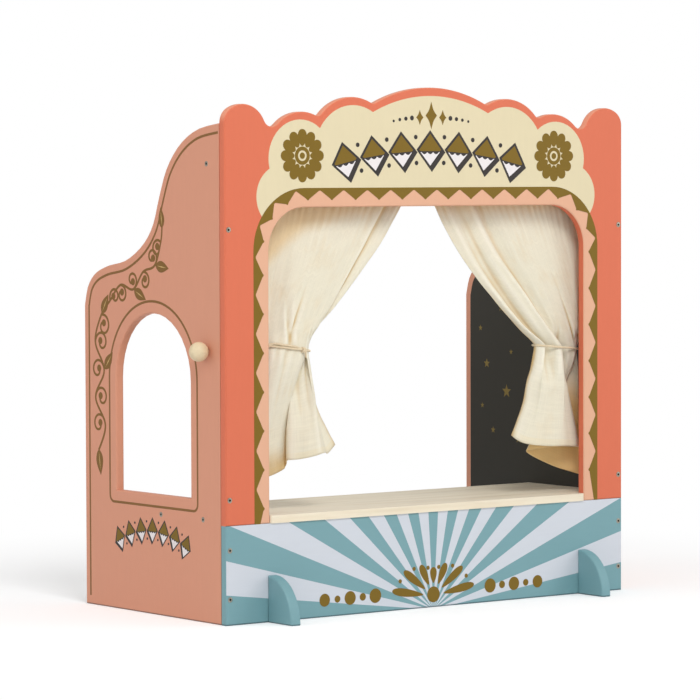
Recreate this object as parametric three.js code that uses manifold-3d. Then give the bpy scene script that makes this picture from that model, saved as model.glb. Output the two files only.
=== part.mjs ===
// Wooden puppet theatre stand with a curtained stage and a ticket window.
// Millimetres, +Z up, +X to the right along the front, +Y from the front to the back.
// While it is built, Y = 0 is the front face of the boards. The outer group then moves
// everything so that the origin is under the middle of the whole stand.

import * as THREE from 'three';
import { mergeVertices } from 'three/addons/utils/BufferGeometryUtils.js';
import Module from 'manifold-3d';

const wasm = await Module();
wasm.setup();

// Boards
const standWidth = 660;
const frontHeight = 681;
const sideDepth = 324;
const frontThickness = 12;
const sideThickness = 12;
const edgeRound = 2;
const edgeRoundSteps = 2;

// Front board over the seam: scalloped head, stiles and the stage opening
const seamHeight = 126;
const stileWidth = 68;
const headerDepth = 154.5;
const openingCornerRadius = 56;
const crownRise = 20.5;
const highCuspDrop = 20.5;
const lowCuspDrop = 39;
const valleyDrop = 52.5;
const shoulderDrop = 36;
const highCuspShare = 0.289;
const lowCuspShare = 0.556;
const valleyShare = 0.783;
const innerLobeRise = 15.5;
const outerLobeRise = 12;
const postRise = 19.3;

// Side boards: height behind the front board, and the S-shaped top edge
// as shares of the depth and of that height, from the front to the back
const sideTopDrop = 48;
const shoulderShare = 0.71;
const sideTopShares = [
  [0.037, 1.0],
  [0.19, 0.988],
  [0.31, 0.958],
  [0.4, 0.911],
  [0.455, 0.853],
  [0.503, 0.794],
  [0.58, 0.753],
  [0.7, 0.722],
  [0.83, shoulderShare],
  [0.92, 0.694],
  [0.975, 0.667],
  [1.0, 0.627],
];

// Ticket window in the left side board
const windowSetback = 78;
const windowWidth = 171;
const windowSill = 156;
const windowCrownClearance = 59.5;

// Stage shelf with a nose that comes through the stage opening
const shelfThickness = 10;
const shelfDepth = 184;
const shelfNose = 2;
const shelfNoseClearance = 0.5;
const shelfCornerRadius = 3;

// Foot fins in front of the plinth
const footThickness = 15;
const footReach = 51;
const footHeight = 60;
const footInset = 71.5;

// Curtain rod
const rodRadius = 6;
const rodSetback = 40;
const rodDrop = 99;

// Screws: flush countersunk heads with a round socket
const screwHeadRadius = 3.5;
const screwHeadDepth = 2.4;
const screwShankRadius = 1.75;
const screwTipLength = 3;
const screwSocketRadius = 1.4;
const screwSocketDepth = 1.6;
const screwSides = 10;
const screwLength = 40;
const footScrewLength = 30;
const screwClearance = 0.3;
const frontScrewHeights = [499, 158.5];
const plinthScrewHeights = [95, 33];
const shelfScrewSetbacks = [51, 146];
const footScrewHeights = [15, 40];

// Tie cords, their knots and the pull balls outside the side boards
const cordRadius = 1.5;
const cordSlack = 2;
const cordStrandDrop = 3.8;
const cordHoleRadius = 3;
const cordSectionSides = 8;
const cordStep = 6.5;
const cordStrandShare = 0.41;
const cordLoopSteps = 24;
const cordBendLength = 4;
const tieHeight = 345;
const leftTieRise = 1;
const leftTieTilt = 5;
const rightTieDrop = 11.5;
const rightTieTilt = 3.5;
const knotRadius = 3.6;
const ballRadius = 12.5;
const ballSeatGap = 0.3;
const cordEndGap = 0.6;
const ballBoreDepth = 17;
const boreClearance = 0.3;

// Curtains: travel along the rod, and the cloth as main folds
const curtainTravel = 30;
const travelMargin = 3;
const pocketClearance = 1.2;
const pocketSeatGap = 0.3;
const pocketWall = 2;
const clothThickness = 3;
const bundleThickness = 10;
const bundleDepth = 32;
const bundleRimShare = 0.15;
const foldCount = 5;
const foldColumns = 36;
const tieRows = 7;
const skirtRows = 5;
const headFoldReach = 5;
const hemFoldReach = 15;

// Colours and finishes
const finishes = {
  coral: { color: 0xde7a5c, roughness: 0.45, metalness: 0 },
  salmon: { color: 0xd39578, roughness: 0.45, metalness: 0 },
  blue: { color: 0x8dacb4, roughness: 0.45, metalness: 0 },
  plywood: { color: 0xe4d6c0, roughness: 0.6, metalness: 0 },
  beech: { color: 0xe4d7b4, roughness: 0.5, metalness: 0 },
  cotton: { color: 0xe8dcc3, roughness: 0.95, metalness: 0 },
  cord: { color: 0xe9dbb9, roughness: 0.9, metalness: 0 },
  steel: { color: 0xb9bcc0, roughness: 0.35, metalness: 1 },
};

// Sizes that follow from the ones above
const halfWidth = standWidth / 2;
const innerHalfWidth = halfWidth - sideThickness;
const openingHalfWidth = halfWidth - stileWidth;
const openingTop = frontHeight - headerDepth;
const sideTop = frontHeight - sideTopDrop;
const rodHeight = frontHeight - rodDrop;
const windowRadius = windowWidth / 2;
const windowCentre = windowSetback + windowRadius;
const windowSpring = shoulderShare * sideTop - windowCrownClearance - windowRadius;
const ballCentre = halfWidth + ballSeatGap + ballRadius;
const pocketInnerRadius = rodRadius + pocketClearance;
const pocketRadius = pocketInnerRadius + pocketWall;
const pocketHeight = rodHeight - pocketClearance + pocketSeatGap;
const clothLimit = innerHalfWidth - curtainTravel - travelMargin;
const cutOverrun = 5;
const cutOvershoot = edgeRound + cutOverrun;

// Each curtain: how far the free edge and the wall edge stand out, as shares of the space
// from the middle to the side board, and how far down each row is, as a share of the fall
// from the rod to the tie or from the tie to the hem
const leftCurtain = {
  side: -1,
  headShares: [
    { fall: 0, free: -0.003, wall: 1.0 },
    { fall: 0.258, free: 0.079, wall: 0.995 },
    { fall: 0.477, free: 0.165, wall: 0.99 },
    { fall: 0.748, free: 0.337, wall: 0.975 },
    { fall: 0.897, free: 0.459, wall: 0.94 },
  ],
  tieShares: { free: 0.545, wall: 0.877 },
  skirtShares: [
    { fall: 0.3, free: 0.522, wall: 0.91 },
    { fall: 0.65, free: 0.49, wall: 0.955 },
    { fall: 1.0, free: 0.406, wall: 0.985 },
  ],
  hemFreeShare: 0.371,
  hemWallShare: 0.313,
  tieRise: leftTieRise,
  tieTilt: leftTieTilt,
  knotAngle: 121,
  strandSteps: 3,
  wrap: 'front',
};
const rightCurtain = {
  side: 1,
  headShares: [
    { fall: 0, free: 0.01, wall: 1.0 },
    { fall: 0.238, free: 0.129, wall: 0.998 },
    { fall: 0.442, free: 0.233, wall: 0.995 },
    { fall: 0.622, free: 0.324, wall: 0.993 },
    { fall: 0.845, free: 0.491, wall: 0.99 },
  ],
  tieShares: { free: 0.664, wall: 0.982 },
  skirtShares: [
    { fall: 0.4, free: 0.62, wall: 0.99 },
    { fall: 0.65, free: 0.602, wall: 0.995 },
    { fall: 1.0, free: 0.535, wall: 0.997 },
  ],
  hemFreeShare: 0.373,
  hemWallShare: 0.285,
  tieRise: -rightTieDrop,
  tieTilt: -rightTieTilt,
  knotAngle: 35,
  strandSteps: 0,
  wrap: 'back',
};

// Closed mesh to solid and back
function toSolid(geometry) {
  const bare = new THREE.BufferGeometry();
  bare.setAttribute('position', geometry.getAttribute('position').clone());
  if (geometry.index) bare.setIndex(geometry.index.clone());
  const merged = mergeVertices(bare);
  return new wasm.Manifold(new wasm.Mesh({
    numProp: 3,
    vertProperties: new Float32Array(merged.getAttribute('position').array),
    triVerts: new Uint32Array(merged.index.array),
  }));
}

function toGeometry(solid) {
  const mesh = solid.getMesh();
  const geometry = new THREE.BufferGeometry();
  geometry.setAttribute('position', new THREE.BufferAttribute(mesh.vertProperties, 3));
  geometry.setIndex(new THREE.BufferAttribute(mesh.triVerts, 1));
  geometry.computeVertexNormals();
  return geometry;
}

function cut(solid, tools) {
  return tools.reduce((rest, tool) => rest.subtract(toSolid(tool)), solid);
}

const stand = new THREE.Group();
stand.position.y = (footReach - sideDepth) / 2;

function addPiece(name, geometry, finish) {
  const mesh = new THREE.Mesh(geometry, new THREE.MeshStandardMaterial(finishes[finish]));
  mesh.name = name;
  stand.add(mesh);
}

// Axes of a drawn outline: across the front, or along a side board
const axisX = new THREE.Vector3(1, 0, 0);
const axisY = new THREE.Vector3(0, 1, 0);
const axisZ = new THREE.Vector3(0, 0, 1);
const frontPlane = new THREE.Matrix4().makeBasis(axisX, axisZ, axisY.clone().negate());
const sidePlane = new THREE.Matrix4().makeBasis(axisY, axisZ, axisX);

// Board with eased edges from an outline, its drawn plane at depth 0
function boardGeometry(shape, thickness) {
  const round = Math.min(edgeRound, thickness / 3);
  const geometry = new THREE.ExtrudeGeometry(shape, {
    depth: thickness - 2 * round,
    bevelThickness: round,
    bevelSize: round,
    bevelOffset: -round,
    bevelSegments: edgeRoundSteps,
    curveSegments: 1,
  });
  return geometry.translate(0, 0, round);
}

function boxGeometry(low, high) {
  const size = high.map((value, axis) => value - low[axis]);
  const middle = high.map((value, axis) => (value + low[axis]) / 2);
  return new THREE.BoxGeometry(...size).translate(...middle);
}

// Points of an arc that joins two points and stands proud of their line by its rise
function bulgePoints(from, to, rise, steps) {
  const chord = to.clone().sub(from);
  const half = chord.length() / 2;
  const radius = (half * half + rise * rise) / (2 * rise);
  const normal = new THREE.Vector2(chord.y, -chord.x).normalize();
  const centre = from.clone().lerp(to, 0.5).addScaledVector(normal, radius - rise);
  const start = Math.atan2(from.y - centre.y, from.x - centre.x);
  const sweep = 2 * Math.atan2(half, radius - rise);
  const points = [];
  for (let step = 0; step < steps; step += 1) {
    const angle = start - (sweep * step) / steps;
    points.push(new THREE.Vector2(Math.cos(angle), Math.sin(angle)).multiplyScalar(radius).add(centre));
  }
  return points;
}

function arcPoints(centreX, centreY, radius, fromAngle, toAngle, steps) {
  return new THREE.EllipseCurve(
    centreX, centreY, radius, radius, fromAngle, toAngle, toAngle < fromAngle,
  ).getPoints(steps);
}

// Head of the front board, from its right shoulder over the scallops to its left shoulder
function scallopPoints() {
  const shoulder = new THREE.Vector2(halfWidth, frontHeight - shoulderDrop);
  const valley = new THREE.Vector2(halfWidth * valleyShare, frontHeight - valleyDrop);
  const lowCusp = new THREE.Vector2(halfWidth * lowCuspShare, frontHeight - lowCuspDrop);
  const highCusp = new THREE.Vector2(halfWidth * highCuspShare, frontHeight - highCuspDrop);
  const mirrored = (point) => new THREE.Vector2(-point.x, point.y);
  const arcs = [
    [shoulder, valley, postRise, 8],
    [valley, lowCusp, outerLobeRise, 7],
    [lowCusp, highCusp, innerLobeRise, 8],
    [highCusp, mirrored(highCusp), crownRise, 12],
    [mirrored(highCusp), mirrored(lowCusp), innerLobeRise, 8],
    [mirrored(lowCusp), mirrored(valley), outerLobeRise, 7],
    [mirrored(valley), mirrored(shoulder), postRise, 8],
  ];
  // The arcs run right to left, so each is drawn from its left end and turned round
  return arcs.flatMap(([right, left, rise, steps]) => (
    bulgePoints(left, right, rise, steps).concat([right]).reverse().slice(0, -1)
  )).concat([mirrored(shoulder)]);
}

function openingPath() {
  const corner = Math.min(openingCornerRadius, openingHalfWidth);
  const cornerX = openingHalfWidth - corner;
  const cornerZ = openingTop - corner;
  const points = [
    new THREE.Vector2(openingHalfWidth, seamHeight - cutOvershoot),
    ...arcPoints(cornerX, cornerZ, corner, 0, Math.PI / 2, 8),
    ...arcPoints(-cornerX, cornerZ, corner, Math.PI / 2, Math.PI, 8),
    new THREE.Vector2(-openingHalfWidth, seamHeight - cutOvershoot),
  ];
  return points;
}

// Screws lie along +Z from their head at 0 down to their tip at -length
function screwGeometry(length) {
  const profile = [
    [0, -screwSocketDepth],
    [screwSocketRadius, -screwSocketDepth],
    [screwSocketRadius, 0],
    [screwHeadRadius, 0],
    [screwShankRadius, -screwHeadDepth],
    [screwShankRadius, screwTipLength - length],
    [0, -length],
  ].map(([radius, height]) => new THREE.Vector2(radius, height)).reverse();
  return new THREE.LatheGeometry(profile, screwSides).rotateX(Math.PI / 2);
}

function screwHoleGeometry(length) {
  const headRadius = screwHeadRadius + screwClearance;
  const shankRadius = screwShankRadius + screwClearance;
  const depth = length + screwClearance;
  const profile = [
    [0, cutOverrun],
    [headRadius, cutOverrun],
    [headRadius, 0],
    [shankRadius, -screwHeadDepth - screwClearance],
    [shankRadius, -depth],
    [0, -depth],
  ].map(([radius, height]) => new THREE.Vector2(radius, height)).reverse();
  return new THREE.LatheGeometry(profile, screwSides).rotateX(Math.PI / 2);
}

// A placed screw: where its head lies and which way its head looks
function placed(geometry, screw) {
  const turn = new THREE.Quaternion().setFromUnitVectors(axisZ, screw.outward);
  return geometry.applyQuaternion(turn).translate(...screw.head);
}

function screwHole(screw) {
  return placed(screwHoleGeometry(screw.length), screw);
}

function sideScrews(side) {
  const name = side < 0 ? 'left' : 'right';
  const columnX = side * (halfWidth - sideThickness / 2);
  const front = new THREE.Vector3(0, -1, 0);
  const outside = new THREE.Vector3(side, 0, 0);
  const back = new THREE.Vector3(0, 1, 0);
  const footX = side * (halfWidth - footInset);
  return {
    upper: frontScrewHeights.map((height, index) => ({
      name: `${name}_front_screw_${index + 1}`,
      head: [columnX, 0, height],
      outward: front,
      length: screwLength,
    })),
    plinth: plinthScrewHeights.map((height, index) => ({
      name: `${name}_plinth_screw_${index + 1}`,
      head: [columnX, 0, height],
      outward: front,
      length: screwLength,
    })),
    shelf: shelfScrewSetbacks.map((setback, index) => ({
      name: `${name}_shelf_screw_${index + 1}`,
      head: [side * halfWidth, setback, seamHeight + shelfThickness / 2],
      outward: outside,
      length: screwLength,
    })),
    rod: [{
      name: `${name}_rod_screw`,
      head: [side * halfWidth, rodSetback, rodHeight],
      outward: outside,
      length: screwLength,
    }],
    foot: footScrewHeights.map((height, index) => ({
      name: `${name}_foot_screw_${index + 1}`,
      head: [footX, frontThickness, height],
      outward: back,
      length: footScrewLength,
    })),
  };
}

const leftScrews = sideScrews(-1);
const rightScrews = sideScrews(1);

// Front board over the seam, with the stage opening
function buildFrontUpperPanel() {
  // The opening runs out through the seam, so the board is drawn as an arch
  const arch = new THREE.Shape([
    ...openingPath(),
    new THREE.Vector2(-halfWidth, seamHeight - cutOvershoot),
    ...scallopPoints().reverse(),
    new THREE.Vector2(halfWidth, seamHeight - cutOvershoot),
  ]);
  const board = boardGeometry(arch, frontThickness)
    .applyMatrix4(frontPlane).translate(0, frontThickness, 0);
  const underSeam = boxGeometry(
    [-halfWidth - cutOverrun, -cutOverrun, seamHeight - 2 * cutOvershoot],
    [halfWidth + cutOverrun, frontThickness + cutOverrun, seamHeight],
  );
  const holes = [...leftScrews.upper, ...rightScrews.upper].map(screwHole);
  addPiece('front_upper_panel', toGeometry(cut(toSolid(board), [underSeam, ...holes])), 'coral');
}

// Plinth board under the seam
function buildFrontPlinthPanel() {
  const top = seamHeight + cutOvershoot;
  const outline = new THREE.Shape([
    new THREE.Vector2(-halfWidth, 0),
    new THREE.Vector2(halfWidth, 0),
    new THREE.Vector2(halfWidth, top),
    new THREE.Vector2(-halfWidth, top),
  ]);
  const board = boardGeometry(outline, frontThickness)
    .applyMatrix4(frontPlane).translate(0, frontThickness, 0);
  const overSeam = boxGeometry(
    [-halfWidth - cutOverrun, -cutOverrun, seamHeight],
    [halfWidth + cutOverrun, frontThickness + cutOverrun, seamHeight + 2 * cutOvershoot],
  );
  const screws = [leftScrews, rightScrews].flatMap((set) => [...set.plinth, ...set.foot]);
  addPiece(
    'front_plinth_panel',
    toGeometry(cut(toSolid(board), [overSeam, ...screws.map(screwHole)])),
    'blue',
  );
}

function windowPath() {
  return new THREE.Path([
    new THREE.Vector2(windowSetback, windowSill),
    new THREE.Vector2(windowSetback + windowWidth, windowSill),
    ...arcPoints(windowCentre, windowSpring, windowRadius, 0, Math.PI, 18),
  ]);
}

// Side board: straight front, bottom and back, and an S-shaped top edge
function buildSidePanel(side, screws) {
  const topEdge = new THREE.SplineCurve(
    sideTopShares.map(([depth, height]) => new THREE.Vector2(depth * sideDepth, height * sideTop)),
  ).getPoints(36);
  const outline = new THREE.Shape([
    new THREE.Vector2(frontThickness - cutOvershoot, sideTop),
    new THREE.Vector2(frontThickness - cutOvershoot, 0),
    new THREE.Vector2(sideDepth, 0),
    ...topEdge.reverse(),
  ]);
  if (side < 0) outline.holes.push(windowPath());
  const board = boardGeometry(outline, sideThickness)
    .applyMatrix4(sidePlane)
    .translate(side < 0 ? -halfWidth : innerHalfWidth, 0, 0);
  const inFront = boxGeometry(
    [-halfWidth - cutOverrun, frontThickness - 2 * cutOvershoot, -cutOverrun],
    [halfWidth + cutOverrun, frontThickness, frontHeight],
  );
  const cordHole = new THREE.CylinderGeometry(
    cordHoleRadius, cordHoleRadius, sideThickness + 2 * cutOverrun, 16,
  ).rotateZ(Math.PI / 2).translate(side * (halfWidth - sideThickness / 2), rodSetback, tieHeight);
  const throughScrews = [...screws.upper, ...screws.plinth, ...screws.shelf, ...screws.rod];
  addPiece(
    side < 0 ? 'left_side_panel' : 'right_side_panel',
    toGeometry(cut(toSolid(board), [inFront, cordHole, ...throughScrews.map(screwHole)])),
    'salmon',
  );
}

// Stage shelf: full width behind the boards, and a nose through the opening
function buildStageShelf() {
  const noseHalf = openingHalfWidth - shelfNoseClearance;
  const corner = shelfCornerRadius;
  const outline = new THREE.Shape([
    ...arcPoints(-noseHalf + corner, corner - shelfNose, corner, Math.PI, 1.5 * Math.PI, 4),
    ...arcPoints(noseHalf - corner, corner - shelfNose, corner, 1.5 * Math.PI, 2 * Math.PI, 4),
    new THREE.Vector2(noseHalf, frontThickness),
    new THREE.Vector2(innerHalfWidth, frontThickness),
    new THREE.Vector2(innerHalfWidth, shelfDepth),
    new THREE.Vector2(-innerHalfWidth, shelfDepth),
    new THREE.Vector2(-innerHalfWidth, frontThickness),
    new THREE.Vector2(-noseHalf, frontThickness),
  ]);
  const board = new THREE.ExtrudeGeometry(outline, { depth: shelfThickness, bevelEnabled: false })
    .translate(0, 0, seamHeight);
  const screws = [...leftScrews.shelf, ...rightScrews.shelf];
  addPiece('stage_shelf', toGeometry(cut(toSolid(board), screws.map(screwHole))), 'plywood');
}

// Foot fins: a quarter ellipse that stands out from the plinth
function buildFoot(side, screws) {
  const curve = new THREE.EllipseCurve(0, 0, footReach, footHeight, Math.PI / 2, Math.PI, false)
    .getPoints(12);
  const outline = new THREE.Shape([new THREE.Vector2(0, 0), ...curve]);
  const fin = boardGeometry(outline, footThickness)
    .applyMatrix4(sidePlane)
    .translate(side * (halfWidth - footInset) - footThickness / 2, 0, 0);
  addPiece(
    side < 0 ? 'left_foot' : 'right_foot',
    toGeometry(cut(toSolid(fin), screws.foot.map(screwHole))),
    'blue',
  );
}

// Curtain rod between the side boards, screwed through them at both ends
function buildCurtainRod() {
  const rod = new THREE.CylinderGeometry(rodRadius, rodRadius, 2 * innerHalfWidth, 24)
    .rotateZ(Math.PI / 2)
    .translate(0, rodSetback, rodHeight);
  const screws = [...leftScrews.rod, ...rightScrews.rod];
  addPiece('curtain_rod', toGeometry(cut(toSolid(rod), screws.map(screwHole))), 'beech');
}

// Smooth curve through the free edge, wall edge and height of a curtain's rows
function smoothRows(rows, count) {
  const curve = new THREE.CatmullRomCurve3(rows.map((row) => new THREE.Vector3(...row)));
  return curve.getPoints(count).map((point) => point.toArray());
}

// Rows of a curtain from the rod to its tie, and from the tie to its hem
function curtainRows(curtain) {
  const free = curtain.tieShares.free * innerHalfWidth;
  const wall = curtain.tieShares.wall * clothLimit;
  const height = tieHeight + curtain.tieRise;
  const neck = Math.abs(curtain.tieTilt) + cordStrandDrop + cordRadius;
  const top = pocketHeight - (pocketInnerRadius + pocketRadius) / 2;
  const head = curtain.headShares.map((row) => [
    row.free * innerHalfWidth,
    row.wall * clothLimit,
    top + (height + neck - top) * row.fall,
  ]);
  head.push([free, wall, height + neck]);
  const skirt = [[free, wall, 0]].concat(curtain.skirtShares.map((row) => [
    row.free * innerHalfWidth,
    row.wall * clothLimit,
    row.fall,
  ]));
  return {
    head: smoothRows(head, tieRows),
    skirt: smoothRows(skirt, skirtRows),
    tie: { free, wall, top: height + neck, bottom: height - neck },
  };
}

// One row of the cloth: its points from the free edge to the wall edge
function clothRow(curtain, free, wall, heightAt, gather, reach) {
  const points = [];
  const slab = clothThickness + (bundleThickness - clothThickness) * gather;
  for (let column = 0; column <= foldColumns; column += 1) {
    const across = column / foldColumns;
    const rim = Math.sqrt(Math.max(0, 1 - (2 * across - 1) ** 2));
    const envelope = 1 - gather + gather * (bundleRimShare + (1 - bundleRimShare) * rim);
    const wave = Math.sin(2 * Math.PI * foldCount * across);
    const middle = rodSetback + reach * envelope * wave;
    const half = (slab / 2) * envelope;
    points.push({
      x: curtain.side * (free + (wall - free) * across),
      front: middle - half,
      back: middle + half,
      z: heightAt(across),
    });
  }
  return points;
}

// Closed slab from rows of front and back points
function slabGeometry(rows) {
  const columns = rows[0].length;
  const positions = [];
  const index = [];
  rows.forEach((row) => row.forEach((point) => positions.push(point.x, point.front, point.z)));
  rows.forEach((row) => row.forEach((point) => positions.push(point.x, point.back, point.z)));
  const back = rows.length * columns;
  const quad = (a, b, c, d) => index.push(a, b, c, a, c, d);
  const at = (row, column) => row * columns + column;
  for (let row = 0; row + 1 < rows.length; row += 1) {
    for (let column = 0; column + 1 < columns; column += 1) {
      const a = at(row, column);
      const b = at(row, column + 1);
      const c = at(row + 1, column + 1);
      const d = at(row + 1, column);
      quad(a, d, c, b);
      quad(back + a, back + b, back + c, back + d);
    }
    quad(at(row, 0), back + at(row, 0), back + at(row + 1, 0), at(row + 1, 0));
    const last = columns - 1;
    quad(at(row, last), at(row + 1, last), back + at(row + 1, last), back + at(row, last));
  }
  const end = rows.length - 1;
  for (let column = 0; column + 1 < columns; column += 1) {
    quad(at(0, column), at(0, column + 1), back + at(0, column + 1), back + at(0, column));
    quad(at(end, column), back + at(end, column), back + at(end, column + 1), at(end, column + 1));
  }
  const geometry = new THREE.BufferGeometry();
  geometry.setAttribute('position', new THREE.BufferAttribute(new Float32Array(positions), 3));
  geometry.setIndex(rows[0][1].x > rows[0][0].x ? index : index.reverse());
  return geometry;
}

// Depth of the gathered bundle from its middle to its front
const bundleHalf = bundleDepth / 2;
const bundleReach = bundleHalf - bundleThickness / 2;

function buildCurtain(curtain, name) {
  const { head, skirt, tie } = curtainRows(curtain);
  const top = head[0][2];
  const rows = head.map(([free, wall, height]) => {
    const gather = ((top - height) / (top - tie.top)) ** 2;
    const reach = headFoldReach + (bundleReach - headFoldReach) * gather;
    return clothRow(curtain, free, wall, () => height, gather, reach);
  });
  skirt.forEach(([free, wall, fall]) => {
    const gather = (1 - fall) ** 2;
    const reach = hemFoldReach + (bundleReach - hemFoldReach) * gather;
    const heightAt = (across) => {
      const share = curtain.hemFreeShare + (curtain.hemWallShare - curtain.hemFreeShare) * across;
      return tie.bottom + (share * rodHeight - tie.bottom) * fall;
    };
    rows.push(clothRow(curtain, free, wall, heightAt, gather, reach));
  });
  const cloth = toSolid(slabGeometry(rows));
  const length = head[0][1] - head[0][0];
  const middle = curtain.side * (head[0][1] + head[0][0]) / 2;
  const tube = (radius, overrun) => toSolid(
    new THREE.CylinderGeometry(radius, radius, length + overrun, 16)
      .rotateZ(Math.PI / 2)
      .translate(middle, rodSetback, pocketHeight),
  );
  const pocket = cloth.add(tube(pocketRadius, 0)).subtract(tube(pocketInnerRadius, cutOverrun));
  addPiece(name, toGeometry(pocket), 'cotton');
}

// Route of a tie cord: out of the ball and through the side board to the knot, and the loop
// from the knot round the gathered cloth and back to the knot
function cordRoute(curtain) {
  const { tie } = curtainRows(curtain);
  const clear = cordSlack + cordRadius;
  const centre = (tie.free + tie.wall) / 2;
  const reachX = (tie.wall - tie.free) / 2 + clear;
  const reachY = bundleHalf + clear;
  const loopHeight = tieHeight + curtain.tieRise;
  const turn = curtain.wrap === 'front' ? 1 : -1;
  const loopPoint = (degrees, lift) => {
    const angle = THREE.MathUtils.degToRad(degrees);
    return new THREE.Vector3(
      curtain.side * (centre + reachX * Math.cos(angle)),
      rodSetback - turn * reachY * Math.sin(angle),
      loopHeight + curtain.tieTilt * Math.cos(angle) + lift,
    );
  };
  const runEnd = innerHalfWidth - curtainTravel - travelMargin / 2;
  const lead = [
    ballCentre - ballRadius + ballBoreDepth - cordEndGap,
    halfWidth,
    innerHalfWidth,
    runEnd + cordBendLength,
    runEnd,
  ].map((out) => new THREE.Vector3(curtain.side * out, rodSetback, tieHeight));
  const strandStart = curtain.knotAngle * cordStrandShare;
  for (let step = 0; step < curtain.strandSteps; step += 1) {
    const share = step / curtain.strandSteps;
    lead.push(loopPoint(strandStart + (curtain.knotAngle - strandStart) * share, cordStrandDrop));
  }
  const knot = loopPoint(curtain.knotAngle, 0);
  lead.push(knot);
  const loop = [];
  for (let step = 0; step <= cordLoopSteps; step += 1) {
    loop.push(loopPoint(curtain.knotAngle + (360 * step) / cordLoopSteps, 0));
  }
  return { lead, loop, knot };
}

function cordTube(points) {
  const path = new THREE.CatmullRomCurve3(points, false, 'centripetal');
  const section = new THREE.Shape(
    arcPoints(0, 0, cordRadius, 0, 2 * Math.PI, cordSectionSides).slice(0, -1),
  );
  return toSolid(new THREE.ExtrudeGeometry(section, {
    extrudePath: path,
    steps: Math.round(path.getLength() / cordStep),
    bevelEnabled: false,
  }));
}

function buildTieCord(curtain, name) {
  const { lead, loop, knot } = cordRoute(curtain);
  const ball = new THREE.SphereGeometry(knotRadius, 12, 8).translate(...knot.toArray());
  addPiece(name, toGeometry(cordTube(lead).add(cordTube(loop)).add(toSolid(ball))), 'cord');
}

// Pull ball: a wooden bead glued on the end of the cord, seated on the side board
function buildPullBall(side) {
  const bore = new THREE.CylinderGeometry(
    cordRadius + boreClearance, cordRadius + boreClearance, ballBoreDepth + cutOverrun, 16,
  ).rotateZ(Math.PI / 2)
    .translate(side * (ballCentre - ballRadius + (ballBoreDepth - cutOverrun) / 2), rodSetback, tieHeight);
  const ball = new THREE.SphereGeometry(ballRadius, 24, 14)
    .rotateZ(Math.PI / 2)
    .translate(side * ballCentre, rodSetback, tieHeight);
  addPiece(
    side < 0 ? 'left_pull_ball' : 'right_pull_ball',
    toGeometry(cut(toSolid(ball), [bore])),
    'beech',
  );
}

buildFrontUpperPanel();
buildFrontPlinthPanel();
buildSidePanel(-1, leftScrews);
buildSidePanel(1, rightScrews);
buildStageShelf();
buildFoot(-1, leftScrews);
buildFoot(1, rightScrews);
buildCurtainRod();
[leftScrews, rightScrews].flatMap((set) => Object.values(set).flat()).forEach((screw) => {
  addPiece(screw.name, placed(screwGeometry(screw.length), screw), 'steel');
});
buildCurtain(leftCurtain, 'left_curtain');
buildCurtain(rightCurtain, 'right_curtain');
buildTieCord(leftCurtain, 'left_tie_cord');
buildTieCord(rightCurtain, 'right_tie_cord');
buildPullBall(-1);
buildPullBall(1);

const theatre = new THREE.Group();
theatre.add(stand);

export default theatre;
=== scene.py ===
import bpy
import bmesh
import math
from mathutils import Vector, Matrix
from mathutils.geometry import tessellate_polygon
from mathutils import noise as mnoise


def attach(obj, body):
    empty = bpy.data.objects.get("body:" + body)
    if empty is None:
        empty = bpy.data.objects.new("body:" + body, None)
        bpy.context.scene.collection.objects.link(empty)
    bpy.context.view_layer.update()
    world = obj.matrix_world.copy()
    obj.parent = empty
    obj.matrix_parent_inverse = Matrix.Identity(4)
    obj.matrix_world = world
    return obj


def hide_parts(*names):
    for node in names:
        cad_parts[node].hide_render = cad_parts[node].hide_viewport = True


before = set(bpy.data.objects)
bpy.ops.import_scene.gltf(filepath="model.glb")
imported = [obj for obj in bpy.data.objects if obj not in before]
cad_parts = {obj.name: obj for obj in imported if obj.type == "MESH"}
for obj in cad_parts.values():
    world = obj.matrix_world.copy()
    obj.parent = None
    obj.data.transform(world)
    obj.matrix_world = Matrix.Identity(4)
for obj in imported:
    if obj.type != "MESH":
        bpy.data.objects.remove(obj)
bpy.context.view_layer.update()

# Sizes in millimetres, with Y = 0 on the front face of the boards, as in the part's source
MM = 0.001
SHIFT_Y = -136.5
HALF_WIDTH = 330.0
FRONT_HEIGHT = 681.0
SIDE_DEPTH = 324.0
BOARD = 12.0
INNER_HALF = HALF_WIDTH - BOARD
SEAM = 126.0
OPENING_HALF = 262.0
OPENING_TOP = 526.5
ROD_Y, ROD_Z = 40.0, 582.0
TIE_Z = 345.0
BALL_R = 12.5
BALL_X = HALF_WIDTH + 0.3 + BALL_R
BALL_BORE_R, BALL_BORE = 1.8, 17.0

# Outer edge of the zigzag band round the opening, and the lengths of its stretches
BAND_X, BAND_TOP, BAND_R = 286.0, 551.0, 80.0
BAND_RISE = BAND_TOP - BAND_R - SEAM
BAND_ARC = BAND_R * math.pi / 2
BAND_LONG = 2 * (BAND_RISE + BAND_ARC + BAND_X - BAND_R)

# How deep the prints of the fronts reach over the edges, and how high the painted shade at the floor reaches
PEACH_DEPTH = 1.3
RAY_DEPTH = 0.9
FLOOR_SHADE_HEIGHT = 1.9

# Middle and spread of the rays on the plinth
RAY_X, RAY_Z, RAY_DEGREES = 2.0, -3.0, 7.2

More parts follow.
